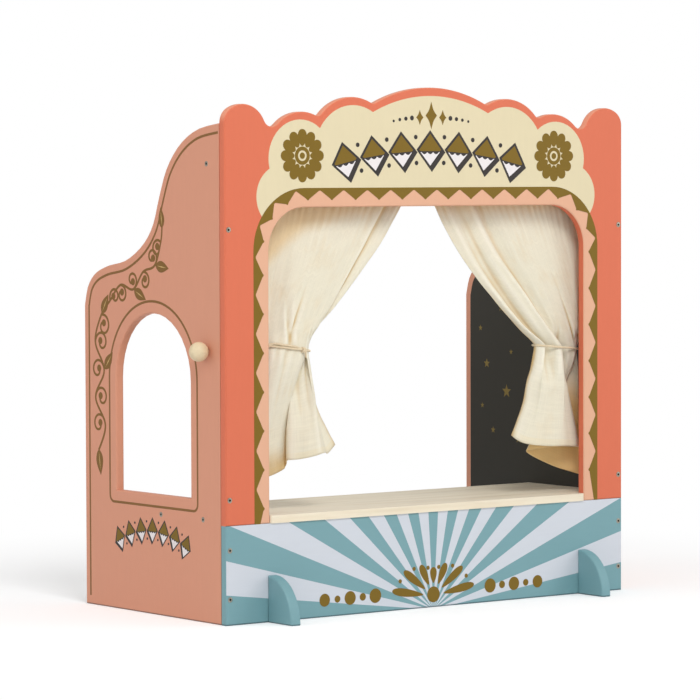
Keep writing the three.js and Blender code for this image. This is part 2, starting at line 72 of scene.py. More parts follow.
# Colours as the eye sees them
CORAL = (217, 112, 80)
# The next colour is a painted highlight on the eased edges that look up
CORAL_HIGHLIGHT = (232, 151, 120)
PEACH = (225, 173, 142)
GOLD = (122, 95, 8)
CREAM = (222, 209, 173)
BLUE = (120, 162, 169)
RAY_WHITE = (208, 213, 221)
SALMON = (216, 151, 123)
LINE_BROWN = (132, 94, 48)
LEAF_BROWN = (128, 92, 40)
LEAF_VEIN = (206, 172, 110)
DARK = (48, 42, 40)
INK_WHITE = (232, 226, 226)
CHALK = (58, 56, 50)
STAR_GOLD = (128, 108, 48)
WOOD = (238, 227, 204)
BEECH = (226, 208, 172)
COTTON = (243, 239, 220)
COTTON_HEM = (242, 235, 210)
# Painted light on the cloth: a highlight on ridges, then golden shade on back layers and under the head,
# then shade in folds
COTTON_RIDGE_HIGHLIGHT = (254, 251, 236)
COTTON_REAR_SHADE = (246, 210, 142)
COTTON_FOLD_SHADE = (208, 170, 96)
COTTON_FLECK = (196, 164, 118)
COTTON_GLOW = (240, 220, 164)
CORD = (238, 224, 196)
CORD_SHADE = (220, 200, 164)
STEEL = ((142, 138, 126), (176, 171, 158))
# The socket's steel is darkened: painted shade in its recess
SOCKET = ((26, 24, 18), (42, 39, 30))

# Linear tones that dim a colour, and the floor's. The first is painted shade at the foot of the boards.
WHITE = (1.0, 1.0, 1.0, 1.0)
FLOOR_SHADE_TONE = (0.48, 0.5, 0.52, 1.0)
GRAIN_TONE = (0.93, 0.9, 0.85, 1.0)
FLOOR_TONE = (0.86, 0.86, 0.86, 1.0)


def mm(x, y, z):
    """A place in the frame's metres."""
    return Vector((x * MM, (y + SHIFT_Y) * MM, z * MM))


def lin(rgb, gain=1.0):
    """The linear colour of an sRGB one, times a gain."""
    shares = [c / 255 for c in rgb]
    return (*(gain * (c / 12.92 if c <= 0.04045 else ((c + 0.055) / 1.055) ** 2.4) for c in shares), 1.0)


def along(axis, share):
    """A scale that stretches a texture along one axis."""
    return tuple(share if name == axis else 1 for name in "xyz")


# Materials
class Tree:
    """The node tree of a material or world, with short calls."""

    def __init__(self, owner):
        self.owner = owner
        owner.use_nodes = True
        self.nodes = owner.node_tree.nodes
        self.bsdf = self.nodes.get("Principled BSDF")
        self.out = self.nodes.get("Material Output")

    def node(self, kind, **values):
        made = self.nodes.new(kind)
        for key, value in values.items():
            setattr(made, key, value)
        return made

    def feed(self, socket, value):
        """Links a socket to the input, or sets it to a number or tuple."""
        if isinstance(value, (int, float, tuple)):
            socket.default_value = value
        else:
            self.owner.node_tree.links.new(value, socket)

    def fed(self, kind, inputs, **values):
        """A node with its named inputs fed."""
        made = self.node(kind, **values)
        for key, value in inputs.items():
            self.feed(made.inputs[key], value)
        return made

    def math(self, operation, *values):
        return self.fed("ShaderNodeMath", dict(enumerate(values)), operation=operation).outputs[0]

    def add(self, first, *others):
        for value in others:
            first = self.math("ADD", first, value)
        return first

    def times(self, a, b):
        return self.math("MULTIPLY", a, b)

    def clamped(self, value):
        return self.math("MINIMUM", self.math("MAXIMUM", value, 0.0), 1.0)

    def length(self, a, b):
        return self.math("SQRT", self.add(self.times(a, a), self.times(b, b)))

    def scaled(self, vector, scale):
        return self.fed("ShaderNodeMapping", {"Scale": scale, "Vector": vector}).outputs[0]

    def coords(self, scale=(1, 1, 1), kind="Object"):
        return self.scaled(self.node("ShaderNodeTexCoord").outputs[kind], scale)

    def axes(self, vector):
        return self.fed("ShaderNodeSeparateXYZ", {0: vector}).outputs

    def noise(self, vector, scale, detail, rough, distortion=0.0):
        return self.fed("ShaderNodeTexNoise", {
            "Vector": vector, "Scale": scale, "Detail": detail, "Roughness": rough,
            "Distortion": distortion}).outputs["Fac"]

    def ramp(self, value, stops):
        made = self.fed("ShaderNodeValToRGB", {"Fac": value})
        elements = made.color_ramp.elements
        while len(elements) < len(stops):
            elements.new(0.5)
        for element, (position, colour) in zip(elements, stops):
            element.position = position
            element.color = colour
        return made.outputs["Color"]

    def mix(self, share, a, b, blend="MIX"):
        inputs = {0: share, 6: a, 7: b}
        return self.fed("ShaderNodeMix", inputs, data_type="RGBA", blend_type=blend).outputs[2]

    def dimmed(self, colour, value):
        """The colour times a grey value."""
        grey = self.fed("ShaderNodeCombineColor", {0: value, 1: value, 2: value})
        return self.mix(1.0, colour, grey.outputs[0], "MULTIPLY")

    def bump(self, height, strength, distance):
        inputs = {"Height": height, "Strength": strength, "Distance": distance}
        return self.fed("ShaderNodeBump", inputs).outputs["Normal"]

    def mix_shader(self, share, a, b):
        return self.fed("ShaderNodeMixShader", {0: share, 1: a, 2: b}).outputs[0]

    def principled(self, **values):
        """Feeds the inputs of the Principled node, named with _ for a space."""
        for key, value in values.items():
            self.feed(self.bsdf.inputs[key.replace("_", " ")], value)


def material(name):
    return Tree(bpy.data.materials.new(name))


def paint_surface(t, colour, grain_axis, rough):
    """Satin paint over a board, with painted shade along its lowest edge at the floor. The colour is a
    socket or a tuple.
    """
    # Painted shade: the lowest part of every board is dimmed where it meets the floor
    low = t.math("LESS_THAN", t.axes(t.coords())[2], FLOOR_SHADE_HEIGHT * MM)
    colour = t.mix(1.0, colour, t.mix(low, WHITE, FLOOR_SHADE_TONE), "MULTIPLY")
    grain = t.noise(t.coords(along(grain_axis, 0.12)), 260, 4, 0.62)
    cloud = t.noise(t.coords(), 5.5, 3, 0.5)
    speck = t.noise(t.coords(), 900, 2, 0.6)
    value = t.add(t.times(grain, 0.05), t.times(cloud, 0.045), t.times(speck, 0.025), 0.94)
    height = t.add(t.times(grain, 0.6), t.times(speck, 0.4))
    t.principled(Base_Color=t.dimmed(colour, value), Normal=t.bump(height, 0.12, 0.0004),
                 Roughness=t.add(t.times(speck, 0.12), rough - 0.06), Specular_IOR_Level=0.35)


def flat_paint(name, rgb, rough):
    t = material(name)
    paint_surface(t, lin(rgb), "z", rough)
    return t.owner


def front_board_material():
    """Coral, with a painted highlight where the eased edge looks up, and the peach print round the opening.
    """
    t = material("coral_front")
    x, y, z = t.axes(t.coords())
    aside = t.math("MAXIMUM", t.math("SUBTRACT", t.math("ABSOLUTE", x), (BAND_X - BAND_R) * MM), 0.0)
    above = t.math("MAXIMUM", t.math("SUBTRACT", z, (BAND_TOP - BAND_R) * MM), 0.0)
    inside = t.math("LESS_THAN", t.length(aside, above), (BAND_R - 1.0) * MM)
    on_face = t.math("LESS_THAN", y, (SHIFT_Y + PEACH_DEPTH) * MM)
    colour = t.mix(t.times(inside, on_face), lin(CORAL), lin(PEACH))
    # Painted highlight: the narrow faces that look up are paler, as if lit from above
    normal = t.axes(t.coords(kind="Normal"))
    narrow = t.math("SUBTRACT", 1.0, t.math("ABSOLUTE", normal[1]))
    upward = t.math("MAXIMUM", normal[2], 0.0)
    painted_highlight = t.math("MINIMUM", t.times(t.times(narrow, upward), 2.4), 1.0)
    paint_surface(t, t.mix(painted_highlight, colour, lin(CORAL_HIGHLIGHT)), "z", 0.48)
    return t.owner


def plinth_material():
    """Blue, with white rays that spread from the middle of the lower edge."""
    t = material("blue_rays")
    x, y, z = t.axes(t.coords())
    angle = t.math("ARCTAN2", t.add(z, -RAY_Z * MM), t.math("SUBTRACT", x, RAY_X * MM))
    ray = t.math("FLOOR", t.math("DIVIDE", angle, math.radians(RAY_DEGREES)))
    white = t.math("GREATER_THAN", t.math("MODULO", ray, 2.0), 0.5)
    on_face = t.math("LESS_THAN", y, (SHIFT_Y + RAY_DEPTH) * MM)
    colour = t.mix(t.times(white, on_face), lin(BLUE), lin(RAY_WHITE))
    paint_surface(t, colour, "x", 0.48)
    return t.owner


def wood_material(name, rgb, ring, rough):
    """Pale wood with long grain along x; ring is the grain's pitch in metres."""
    t = material(name)
    stretch = along("x", 0.06)
    broad = t.noise(t.coords(stretch), 1 / ring, 2, 0.45, 0.6)
    fine = t.noise(t.coords(stretch), 620, 4, 0.6)
    streak = t.noise(t.coords(tuple(s * 0.5 for s in stretch)), 160, 3, 0.55)
    base = t.ramp(broad, [(0.3, lin(rgb, 0.93)), (0.5, lin(rgb)), (0.72, lin(rgb, 1.0385))])
    colour = t.mix(1.0, base, t.ramp(streak, [(0.5, WHITE), (0.68, GRAIN_TONE)]), "MULTIPLY")
    pores = t.times(t.math("GREATER_THAN", fine, 0.64), 0.35)
    height = t.add(t.times(broad, 0.3), t.times(fine, 0.7))
    t.principled(Base_Color=t.mix(pores, colour, lin(rgb, 0.82)), Normal=t.bump(height, 0.18, 0.0003),
                 Roughness=t.add(t.times(fine, 0.15), rough - 0.07), Specular_IOR_Level=0.3)
    return t.owner


def cotton_material(name, rgb):
    """Plain-woven unbleached cotton: threads and slubs both ways, with painted shade in its folds, on its
    back layers and under the board's head, and a painted highlight on its ridges.
    """
    t = material(name)
    uv = t.node("ShaderNodeUVMap", uv_map="Weave").outputs[0]
    u, v, _ = t.axes(uv)

    def fibres(across, lengthwise, scale, detail=3, rough=0.6):
        return t.noise(t.scaled(uv, (across, lengthwise, 1)), scale, detail, rough)

    warp = fibres(1, 0.05, 520)
    weft = fibres(0.05, 1, 520)
    slubs = t.math("MAXIMUM", fibres(1, 0.03, 180, 2, 0.5), fibres(0.035, 1, 160, 2, 0.5))
    cloud = fibres(1, 1, 26, 3, 0.55)
    fleck = t.math("GREATER_THAN", fibres(1, 1, 700, 2, 0.7), 0.74)
    value = t.add(t.times(warp, 0.16), t.times(weft, 0.18), t.times(cloud, 0.06), t.times(slubs, 0.16), 0.74)

    # Both attributes carry painted light: shade in folds with a highlight on ridges, and golden shade on the
    # back layers and under the board's head
    shade = t.node("ShaderNodeAttribute", attribute_name="Shade").outputs["Fac"]
    rear = t.node("ShaderNodeAttribute", attribute_name="RearShade").outputs["Fac"]
    uneven = t.times(t.math("SUBTRACT", cloud, 0.5), 0.8)
    facing = t.clamped(t.times(t.axes(t.coords(kind="Normal"))[1], -5.0))
    # Painted highlight on the ridges
    cloth = t.mix(t.clamped(t.times(shade, -1.0)), lin(rgb), lin(COTTON_RIDGE_HIGHLIGHT))
    # Painted shade on the back layers and under the head, only on faces turned to the front
    cloth = t.mix(t.times(rear, facing), cloth, lin(COTTON_REAR_SHADE))
    # Painted fold shade, mixed with a random mottling of the cloth
    cloth = t.mix(t.clamped(t.times(t.add(shade, uneven), 0.9)), cloth, lin(COTTON_FOLD_SHADE))
    cloth = t.mix(t.times(fleck, 0.3), cloth, lin(COTTON_FLECK))

    thread = 2 * math.pi / 0.0009
    weave = t.times(t.math("SINE", t.times(u, thread)), t.math("SINE", t.times(v, thread)))
    height = t.add(t.times(weave, 0.25), t.times(slubs, 1.6), t.add(warp, weft))
    t.principled(Base_Color=t.dimmed(cloth, value), Normal=t.bump(height, 0.35, 0.0005), Roughness=0.92,
                 Sheen_Weight=0.25, Sheen_Roughness=0.6, Specular_IOR_Level=0.15)
    glow = t.fed("ShaderNodeBsdfTranslucent", {"Color": lin(COTTON_GLOW)}).outputs[0]
    t.feed(t.out.inputs["Surface"], t.mix_shader(0.2, t.bsdf.outputs[0], glow))
    return t.owner


def cord_material():
    t = material("cotton_cord")
    fibre = t.noise(t.coords(), 1500, 3, 0.6)
    colour = t.ramp(fibre, [(0.3, lin(CORD_SHADE)), (0.7, lin(CORD))])
    t.principled(Base_Color=colour, Normal=t.bump(fibre, 0.4, 0.0002), Roughness=0.85,
                 Sheen_Weight=0.2, Specular_IOR_Level=0.2)
    return t.owner


def steel_material(name, tones):
    t = material(name)
    fine = t.noise(t.coords(), 2200, 2, 0.6)
    colour = t.ramp(fine, [(0.3, lin(tones[0])), (0.7, lin(tones[1]))])
    t.principled(Base_Color=colour, Normal=t.bump(fine, 0.1, 0.0001), Metallic=1.0,
                 Roughness=t.add(t.times(fine, 0.2), 0.24))
    return t.owner


MATS = {
    "front": front_board_material(),
    "plinth": plinth_material(),
    "foot": flat_paint("blue_feet", BLUE, 0.46),
    "salmon": flat_paint("salmon_sides", SALMON, 0.5),
    "cream": flat_paint("cream_print", CREAM, 0.52),
    "gold": flat_paint("gold_brown_print", GOLD, 0.55),
    "brown": flat_paint("brown_line", LINE_BROWN, 0.6),
    "leaf": flat_paint("brown_leaf", LEAF_BROWN, 0.6),
    "vein": flat_paint("leaf_vein", LEAF_VEIN, 0.6),
    "dark": flat_paint("dark_print", DARK, 0.5),
    "white": flat_paint("white_print", INK_WHITE, 0.5),
    "chalk": flat_paint("chalk_paint", CHALK, 0.8),
    "star": flat_paint("star_gold", STAR_GOLD, 0.55),
    "shelf": wood_material("shelf_wood", WOOD, 0.02, 0.5),
    "beech": wood_material("beech", BEECH, 0.006, 0.45),
    "cotton": cotton_material("curtain_cotton", COTTON),
    "hem": cotton_material("curtain_hem", COTTON_HEM),
    "cord": cord_material(),
    "steel": steel_material("zinc_steel", STEEL),
    "socket": steel_material("shaded_socket", SOCKET),
}

# CAD nodes that stay, and their materials
DRESSED = {
    "front_plinth_panel": "plinth", "left_side_panel": "salmon", "right_side_panel": "salmon",
    "stage_shelf": "shelf", "left_foot": "foot", "right_foot": "foot", "curtain_rod": "beech",
}
for node, key in DRESSED.items():
    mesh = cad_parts[node].data
    mesh.materials.clear()
    mesh.materials.append(MATS[key])
    mesh.shade_smooth()
    mesh.set_sharp_from_angle(angle=math.radians(19))


# Meshes and outlines
def quads(faces, a, b, n):
    """Adds the faces between two rings of n points that start at a and b."""
    for i in range(n):
        j = (i + 1) % n
        faces.append((a + i, a + j, b + j, b + i))


def new_object(name, data):
    obj = bpy.data.objects.new(name, data)
    bpy.context.scene.collection.objects.link(obj)
    return obj


def add_mesh(name, verts, faces, mats, body="stand", smoothed=False):
    """A piece of the part with its faces turned outward, on a body and with a paint slot."""
    mesh = bpy.data.meshes.new(name)
    mesh.from_pydata([tuple(v) for v in verts], [], faces)
    mesh.validate()
    bm = bmesh.new()
    bm.from_mesh(mesh)
    bmesh.ops.recalc_face_normals(bm, faces=bm.faces)
    bm.to_mesh(mesh)
    bm.free()
    for key in mats:
        mesh.materials.append(MATS[key])
    if smoothed:
        mesh.shade_smooth()
    obj = new_object(name, mesh)
    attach(obj, body)
    return obj


def flat(ring):
    return [Vector((a, b, 0)) for a, b in ring]


def plates(name, shapes, board, mat, depth, base=0.0):
    """Thin printed plates on a board, from outlines: each an outer ring or (outer ring, holes).

    Each plate of a print is a hair thicker than the one before it, so that no two faces coincide.
    """
    hair = 0.004
    plane, slot = board
    verts, faces = [], []
    for place, shape in enumerate(shapes):
        rings = [shape[0], *shape[1]] if isinstance(shape, tuple) else [shape]
        points = [point for ring in rings for point in ring]
        start, count = len(verts), len(points)
        for level in (base, base + depth + hair * place):
            verts += [plane(a, b, level) for a, b in points]
        triangles = tessellate_polygon([flat(ring) for ring in rings])
        faces += [(start + i, start + j, start + k) for i, j, k in triangles]
        faces += [(start + count + k, start + count + j, start + count + i) for i, j, k in triangles]
        for ring in rings:
            quads(faces, start, start + count, len(ring))
            start += len(ring)
    add_mesh(name, verts, faces, [mat])


def arc_between(circle, start, end, steps):
    """Points of a circle (x, z, radius) between two directions in radians."""
    cx, cz, r = circle
    return [(cx + r * math.cos(start + (end - start) * i / steps),
             cz + r * math.sin(start + (end - start) * i / steps)) for i in range(steps + 1)]


def arc(cx, cy, r, a0, a1, steps):
    """Points of a circle between two directions in degrees."""
    return arc_between((cx, cy, r), math.radians(a0), math.radians(a1), steps)


def disc(cx, cy, r, steps=28):
    return arc(cx, cy, r, 0, 360, steps)[:-1]


def star(cx, cy, outer, inner):
    """A five-pointed star that stands on two points."""
    ring = []
    for i in range(10):
        r = inner if i % 2 else outer
        a = math.radians(90 + i * 36)
        ring.append((cx + r * math.cos(a), cy + r * math.sin(a)))
    return ring


def petal(near, far, width, slim, steps):
    """A petal along the first axis, fullest towards its far end."""
    ring = []
    for i in range(steps):
        a = 2 * math.pi * i / steps
        bell = 0.5 - 0.5 * math.cos(a)
        ring.append((near + (far - near) * bell, width * math.sin(a) * (slim + (1 - slim) * bell)))
    return ring


def turned(ring, angle, cx=0.0, cy=0.0):
    c, s = math.cos(angle), math.sin(angle)
    return [(cx + a * c - b * s, cy + a * s + b * c) for a, b in ring]


def beside(points, i):
    """Unit vector to the right of the path at a point."""
    p0, p1 = points[max(i - 1, 0)], points[min(i + 1, len(points) - 1)]
    dx, dy = p1[0] - p0[0], p1[1] - p0[1]
    size = math.hypot(dx, dy) or 1.0
    return dy / size, -dx / size


def inset_path(points, inset):
    moved = []
    for i, (a, b) in enumerate(points):
        x, y = beside(points, i)
        moved.append((a + x * inset, b + y * inset))
    return moved


def ribbon(points, width, taper=0.0):
    """Outline of a line of that width along the points; taper thins it to its far end."""
    left, right = [], []
    for i, (a, b) in enumerate(points):
        x, y = beside(points, i)
        half = width / 2 * (1 - taper * i / (len(points) - 1))
        left.append((a - x * half, b - y * half))
        right.append((a + x * half, b + y * half))
    return left + right[::-1]


def catmull(points, steps):
    """Points of a uniform Catmull-Rom spline through 2-D or 3-D points."""
    out = []
    n = len(points) - 1
    for i in range(n):
        p = [points[max(i - 1, 0)], points[i], points[i + 1], points[min(i + 2, n)]]
        for k in range(steps):
            f = k / steps
            out.append(tuple(
                0.5 * (2 * b + (c - a) * f + (2 * a - 5 * b + 4 * c - d) * f * f
                       + (3 * b - a - 3 * c + d) * f ** 3)
                for a, b, c, d in zip(*p)))
    out.append(tuple(points[-1]))
    return out


def meet(c0, c1, near):
    """The crossing of two circles that lies nearest to a point."""
    (x0, y0, r0), (x1, y1, r1) = c0, c1
    d = math.hypot(x1 - x0, y1 - y0)
    a = (r0 * r0 - r1 * r1 + d * d) / (2 * d)
    h = math.sqrt(max(r0 * r0 - a * a, 0))
    mx, my = x0 + a * (x1 - x0) / d, y0 + a * (y1 - y0) / d
    options = [(mx + h * (y1 - y0) / d * s, my - h * (x1 - x0) / d * s) for s in (1, -1)]
    return min(options, key=lambda p: math.hypot(p[0] - near[0], p[1] - near[1]))


def direction(centre, point):
    """Direction in radians from one point to another."""
    return math.atan2(point[1] - centre[1], point[0] - centre[0])


# Boards that carry prints: the face as a function of a place and a height on it, and its slot
def on_front(a, b, d):
    return mm(a, -d, b)


def side_face(x, outward):
    return lambda a, b, d: mm(x + outward * d, a, b)


FRONT = (on_front, "coral_paint")
PLINTH = (on_front, "blue_paint")
LEFT_OUTER = (side_face(-HALF_WIDTH, -1), "salmon_paint")
RIGHT_OUTER = (side_face(HALF_WIDTH, 1), "salmon_paint")
LEFT_INNER = (side_face(-INNER_HALF, 1), "salmon_paint")
RIGHT_INNER = (side_face(INNER_HALF, -1), "salmon_paint")


# Zigzag border round the opening: its tips as (distance along the path, inset), its valleys
ZIG_TIP = ((-2.6, 13.8), (-1.2, 15.3), (0, 15.8), (1.2, 15.3), (2.6, 13.8))
VALLEY_HALF, VALLEY_INSET = 1.2, 3.6


def band_point(s, inset):
    """The point at path length s along the band's outer edge, moved in towards the opening."""
    if s > BAND_LONG / 2:
        x, z = band_point(BAND_LONG - s, inset)
        return -x, z
    if s < BAND_RISE:
        return -BAND_X + inset, SEAM + s
    s -= BAND_RISE
    if s < BAND_ARC:
        r, a = BAND_R - inset, math.pi - s / BAND_R
        return -BAND_X + BAND_R + r * math.cos(a), BAND_TOP - BAND_R + r * math.sin(a)
    return -BAND_X + BAND_R + s - BAND_ARC, BAND_TOP - inset


def zigzag_band():
    far_arc = BAND_LONG - BAND_RISE - BAND_ARC
    outer = [band_point(0, 0)]
    for start in (BAND_RISE, far_arc):
        outer += [band_point(start + BAND_ARC * i / 16, 0) for i in range(17)]
    outer.append(band_point(BAND_LONG, 0))
    tips = [19.2 + 49.3 * i for i in range(7)]
    tips += [BAND_RISE + f for f in (15.4, 54.5, 92.0)]
    tips += [BAND_RISE + BAND_ARC + 5.6 + 38.1 * i for i in range(12)]
    tips += [far_arc + f for f in (57.9, 96.0)]
    tips += [far_arc + BAND_ARC + 8 + 49.2 * i for i in range(7)]
    inner = [band_point(0, 9.0)]
    for i, s in enumerate(tips):
        if i:
            inner.append(band_point((s + tips[i - 1]) / 2 + VALLEY_HALF, VALLEY_INSET))
        inner += [band_point(s + d, inset) for d, inset in ZIG_TIP]
        if i + 1 < len(tips):
            inner.append(band_point((s + tips[i + 1]) / 2 - VALLEY_HALF, VALLEY_INSET))
    inner.append(band_point(BAND_LONG, 6.0))
    return outer + inner[::-1]


def bulge_circle(x0, z0, x1, z1, rise):
    """The circle through two points whose arc between them rises that much."""
    half = math.hypot(x1 - x0, z1 - z0) / 2
    r = (half * half + rise * rise) / (2 * rise)
    nx, nz = (z1 - z0) / (2 * half), -(x1 - x0) / (2 * half)
    return (x0 + x1) / 2 + nx * (r - rise), (z0 + z1) / 2 + nz * (r - rise), r


def cream_field():
    """A field that follows the head of the board, with softer lobes at its sides."""
    inset = 11.0
    circles = []
    for bulge in ((-95.4, 660.5, 95.4, 660.5, 20.5), (95.4, 660.5, 183.5, 642.0, 15.5)):
        cx, cz, r = bulge_circle(*bulge)
        circles.append((cx, cz, r - inset))
    circles += [(212.0, 588.0, 50.0), (240.0, 540.0, 41.0)]
    band = (BAND_X - BAND_R, BAND_TOP - BAND_R, BAND_R)
    near_joints = [(94, 647), (180, 627), (260, 575), (273, 514)]
    joints = [(0.0, circles[0][1] + circles[0][2])]
    joints += [meet(a, b, near) for a, b, near in zip(circles, circles[1:] + [band], near_joints)]
    right = []
    for circle, p, q in zip(circles, joints, joints[1:]):
        start, end = direction(circle, p), direction(circle, q)
        end -= 2 * math.pi if end > start else 0
        right += arc_between(circle, start, end, 18)[:-1]
    right.append(joints[-1])
    right += arc_between(band, direction(band, joints[-1]), math.pi / 2, 12)[1:]
    return right + [(-a, b) for a, b in right[:0:-1]]


def rosette(cx, cz, outer, petals):
    """Flower of round petals with a ring and an eye."""
    ring = petal(outer * 0.36, outer, outer * math.sin(math.pi / petals) * 0.98, 0.6, 20)
    shapes = [turned(ring, 2 * math.pi * k / petals + math.pi / 2, cx, cz) for k in range(petals)]
    shapes.append((disc(cx, cz, outer * 0.345), [disc(cx, cz, outer * 0.2)[::-1]]))
    shapes.append(disc(cx, cz, outer * 0.12, 20))
    return shapes


def lozenge(half_w, half_h, pinch=0.0):
    """A diamond; pinch draws the middles of its sides in."""
    ring = []
    corners = [(half_w, 0), (0, half_h), (-half_w, 0), (0, -half_h)]
    for (x0, y0), (x1, y1) in zip(corners, corners[1:] + corners[:1]):
        for i in range(6):
            f = i / 6
            k = 1 - pinch * math.sin(math.pi * f)
            ring.append(((x0 + (x1 - x0) * f) * k, (y0 + (y1 - y0) * f) * k))
    return ring


def lozenge_row(name, board, count, pitch, size, arch, middle, base=0.0):
    """Arched row of two-tone lozenges with a dark rim, a drop shadow and beads between them."""
    dark, gold, white = [], [], []
    half_w, half_h = size
    rim = half_w * 0.14
    w, h = half_w - rim * 1.35, half_h - rim * 1.5
    split = -h * 0.12
    edge = w * (1 - abs(split) / h)
    over, under = split + rim * 0.2, split - rim * 0.2
    big = lozenge(half_w, half_h)
    drop = [(a + rim * 0.9, b - rim * 1.1) for a, b in big]
    upper = [(edge, over), (w, 0), (0, h), (-w, 0), (-edge, over)]
    lower = [(-edge, under)]
    for i in range(13):
        f = i / 12
        lower.append((-edge * 0.9 + 1.8 * edge * f, under - rim * 0.9 * abs(math.sin(3 * math.pi * f))))
    lower += [(edge, under), (0, -h)]
    for k in range(count):
        a = (k - (count - 1) / 2) * pitch / arch
        place = (-a, middle[0] + arch * math.sin(a), middle[1] - arch * (1 - math.cos(a)))
        dark += [turned(big, *place), turned(drop, *place)]
        gold.append(turned(upper, *place))
        white.append(turned(lower, *place))
        if k < count - 1:
            a += pitch / arch / 2
            for reach in (half_h * 0.66, -half_h * 0.66):
                dark.append(disc(middle[0] + (arch + reach) * math.sin(a),
                                 middle[1] + reach - (arch + reach) * (1 - math.cos(a)), rim * 0.95, 16))
    plates(name + "_rim", dark, board, "dark", 0.12, base)
    plates(name + "_upper", gold, board, "gold", 0.10, base + 0.12)
    plates(name + "_lower", white, board, "white", 0.10, base + 0.12)


# Prints on the front; those on the cream field start at its thickness
FIELD = 0.10
plates("front_zigzag_print", [zigzag_band()], FRONT, "gold", 0.16)
plates("front_cream_field", [cream_field()], FRONT, "cream", FIELD)
plates("front_left_rosette", rosette(-209, 592, 34, 12), FRONT, "gold", 0.14, FIELD)
plates("front_right_rosette", rosette(209, 592, 34, 12), FRONT, "gold", 0.14, FIELD)
lozenge_row("front_lozenges", FRONT, 7, 46.5, (22.5, 25.5), 640.0, (-2.0, 600.0), FIELD)

# Crest over the row: a gold diamond cluster between two rows of beads
crest = [turned(lozenge(9.5, 18.0, 0.2), 0, 0, 644.5)]
crest += [turned(lozenge(6, 10.0, 0.2), 0, s * 19, 642) for s in (-1, 1)]
plates("front_crest", crest, FRONT, "gold", 0.12, FIELD)
beads = []
for s in (-1, 1):
    for i, r in enumerate((3.2, 2.7, 2.2, 1.8)):
        x = 32 + 10 * i
        beads.append(disc(s * x, 641.5 - (x - 19) ** 2 / 420, r, 16))
plates("front_beads", beads, FRONT, "dark", 0.12, FIELD)

# Palmette and dots on the plinth
palmette = []
for k in range(7):
    a = math.radians(9 + 27 * k)
    far = 38 + 32 * abs(math.cos(a)) ** 1.6
    palmette.append(turned(petal(17, far, 7.2, 0.42, 25), a, RAY_X, 15.0))
for k in range(6):
    a = math.radians(22.5 + 27 * k)
    far = 36 + 27 * abs(math.cos(a)) ** 1.6
    palmette.append(disc(RAY_X + far * math.cos(a), 15.0 + far * math.sin(a), 2.8, 16))
palmette.append(disc(RAY_X, 17.0, 10.5))
plates("plinth_palmette", palmette, PLINTH, "gold", 0.12)
dots = [disc(RAY_X + s * (96 + 20.5 * i), 22.0, r)
        for s in (-1, 1) for i, r in enumerate((9.5, 5.0, 9.0, 4.6, 8.4))]
plates("plinth_dots", dots, PLINTH, "gold", 0.12)


# Side boards: the top edge as shares of depth and height, and the foot of the lines inside it
SIDE_TOP = FRONT_HEIGHT - 48.0
SIDE_TOP_SHARES = [
    (0.037, 1.0), (0.19, 0.988), (0.31, 0.958), (0.4, 0.911), (0.455, 0.853), (0.503, 0.794),
    (0.58, 0.753), (0.7, 0.722), (0.83, 0.71), (0.92, 0.694), (0.975, 0.667), (1.0, 0.627),
]
SIDE_FOOT = 12.0
side_outline = catmull([(d * SIDE_DEPTH, h * SIDE_TOP) for d, h in SIDE_TOP_SHARES], 6)
side_outline += [(SIDE_DEPTH, SIDE_TOP * 0.55), (SIDE_DEPTH, SIDE_FOOT)]

# Ticket window: its sides, sill, spring line, middle and radius
WIN_Y0, WIN_Y1, WIN_SILL, WIN_SPRING = 78.0, 249.0, 156.0, 304.5
WIN_MID, WIN_R = (WIN_Y0 + WIN_Y1) / 2, 85.5


def side_line(inset):
    """A line inside the board's edge, from the front over the S-curve and down the back."""
    front, back = BOARD + 2.0, SIDE_DEPTH - inset
    path = [p for p in inset_path(side_outline, inset) if p[0] > front][:-2]
    return [(front, path[0][1] + 0.2), *path, (back, SIDE_TOP * 0.55), (back, SIDE_FOOT)]


def window_frame_line(gap):
    """A line round the window, with rounded lower corners."""
    corner = 9.0
    y0, y1, z0 = WIN_Y0 - gap, WIN_Y1 + gap, WIN_SILL - gap
    path = arc(WIN_MID, WIN_SPRING, WIN_R + gap, 0, 180, 40)
    path += [(y0, z0 + corner)] + arc(y0 + corner, z0 + corner, corner, 180, 270, 6)
    path += arc(y1 - corner, z0 + corner, corner, 270, 360, 6) + [(y1, WIN_SPRING)]
    return path


def leaf(cx, cy, length, width, angle):
    """The outlines of a leaf and of its vein."""
    half = [(length * f, width / 2 * math.sin(math.pi * f ** 0.75)) for f in (i / 12 for i in range(13))]
    body = half + [(a, -b) for a, b in half[-2:0:-1]]
    vein = [(length * 0.12, 0.0), (length * 0.45, 0.75), (length * 0.8, 0.0), (length * 0.45, -0.75)]
    return [turned(ring, math.radians(angle), cx, cy) for ring in (body, vein)]


edge_inset = 11.5
lines = [ribbon(side_line(edge_inset), 3.2), ribbon(window_frame_line(15.5), 3.2)]
plates("left_side_lines", lines, LEFT_OUTER, "brown", 0.1)
plates("right_side_lines", [ribbon(side_line(edge_inset), 2.8)], RIGHT_OUTER, "brown", 0.1)

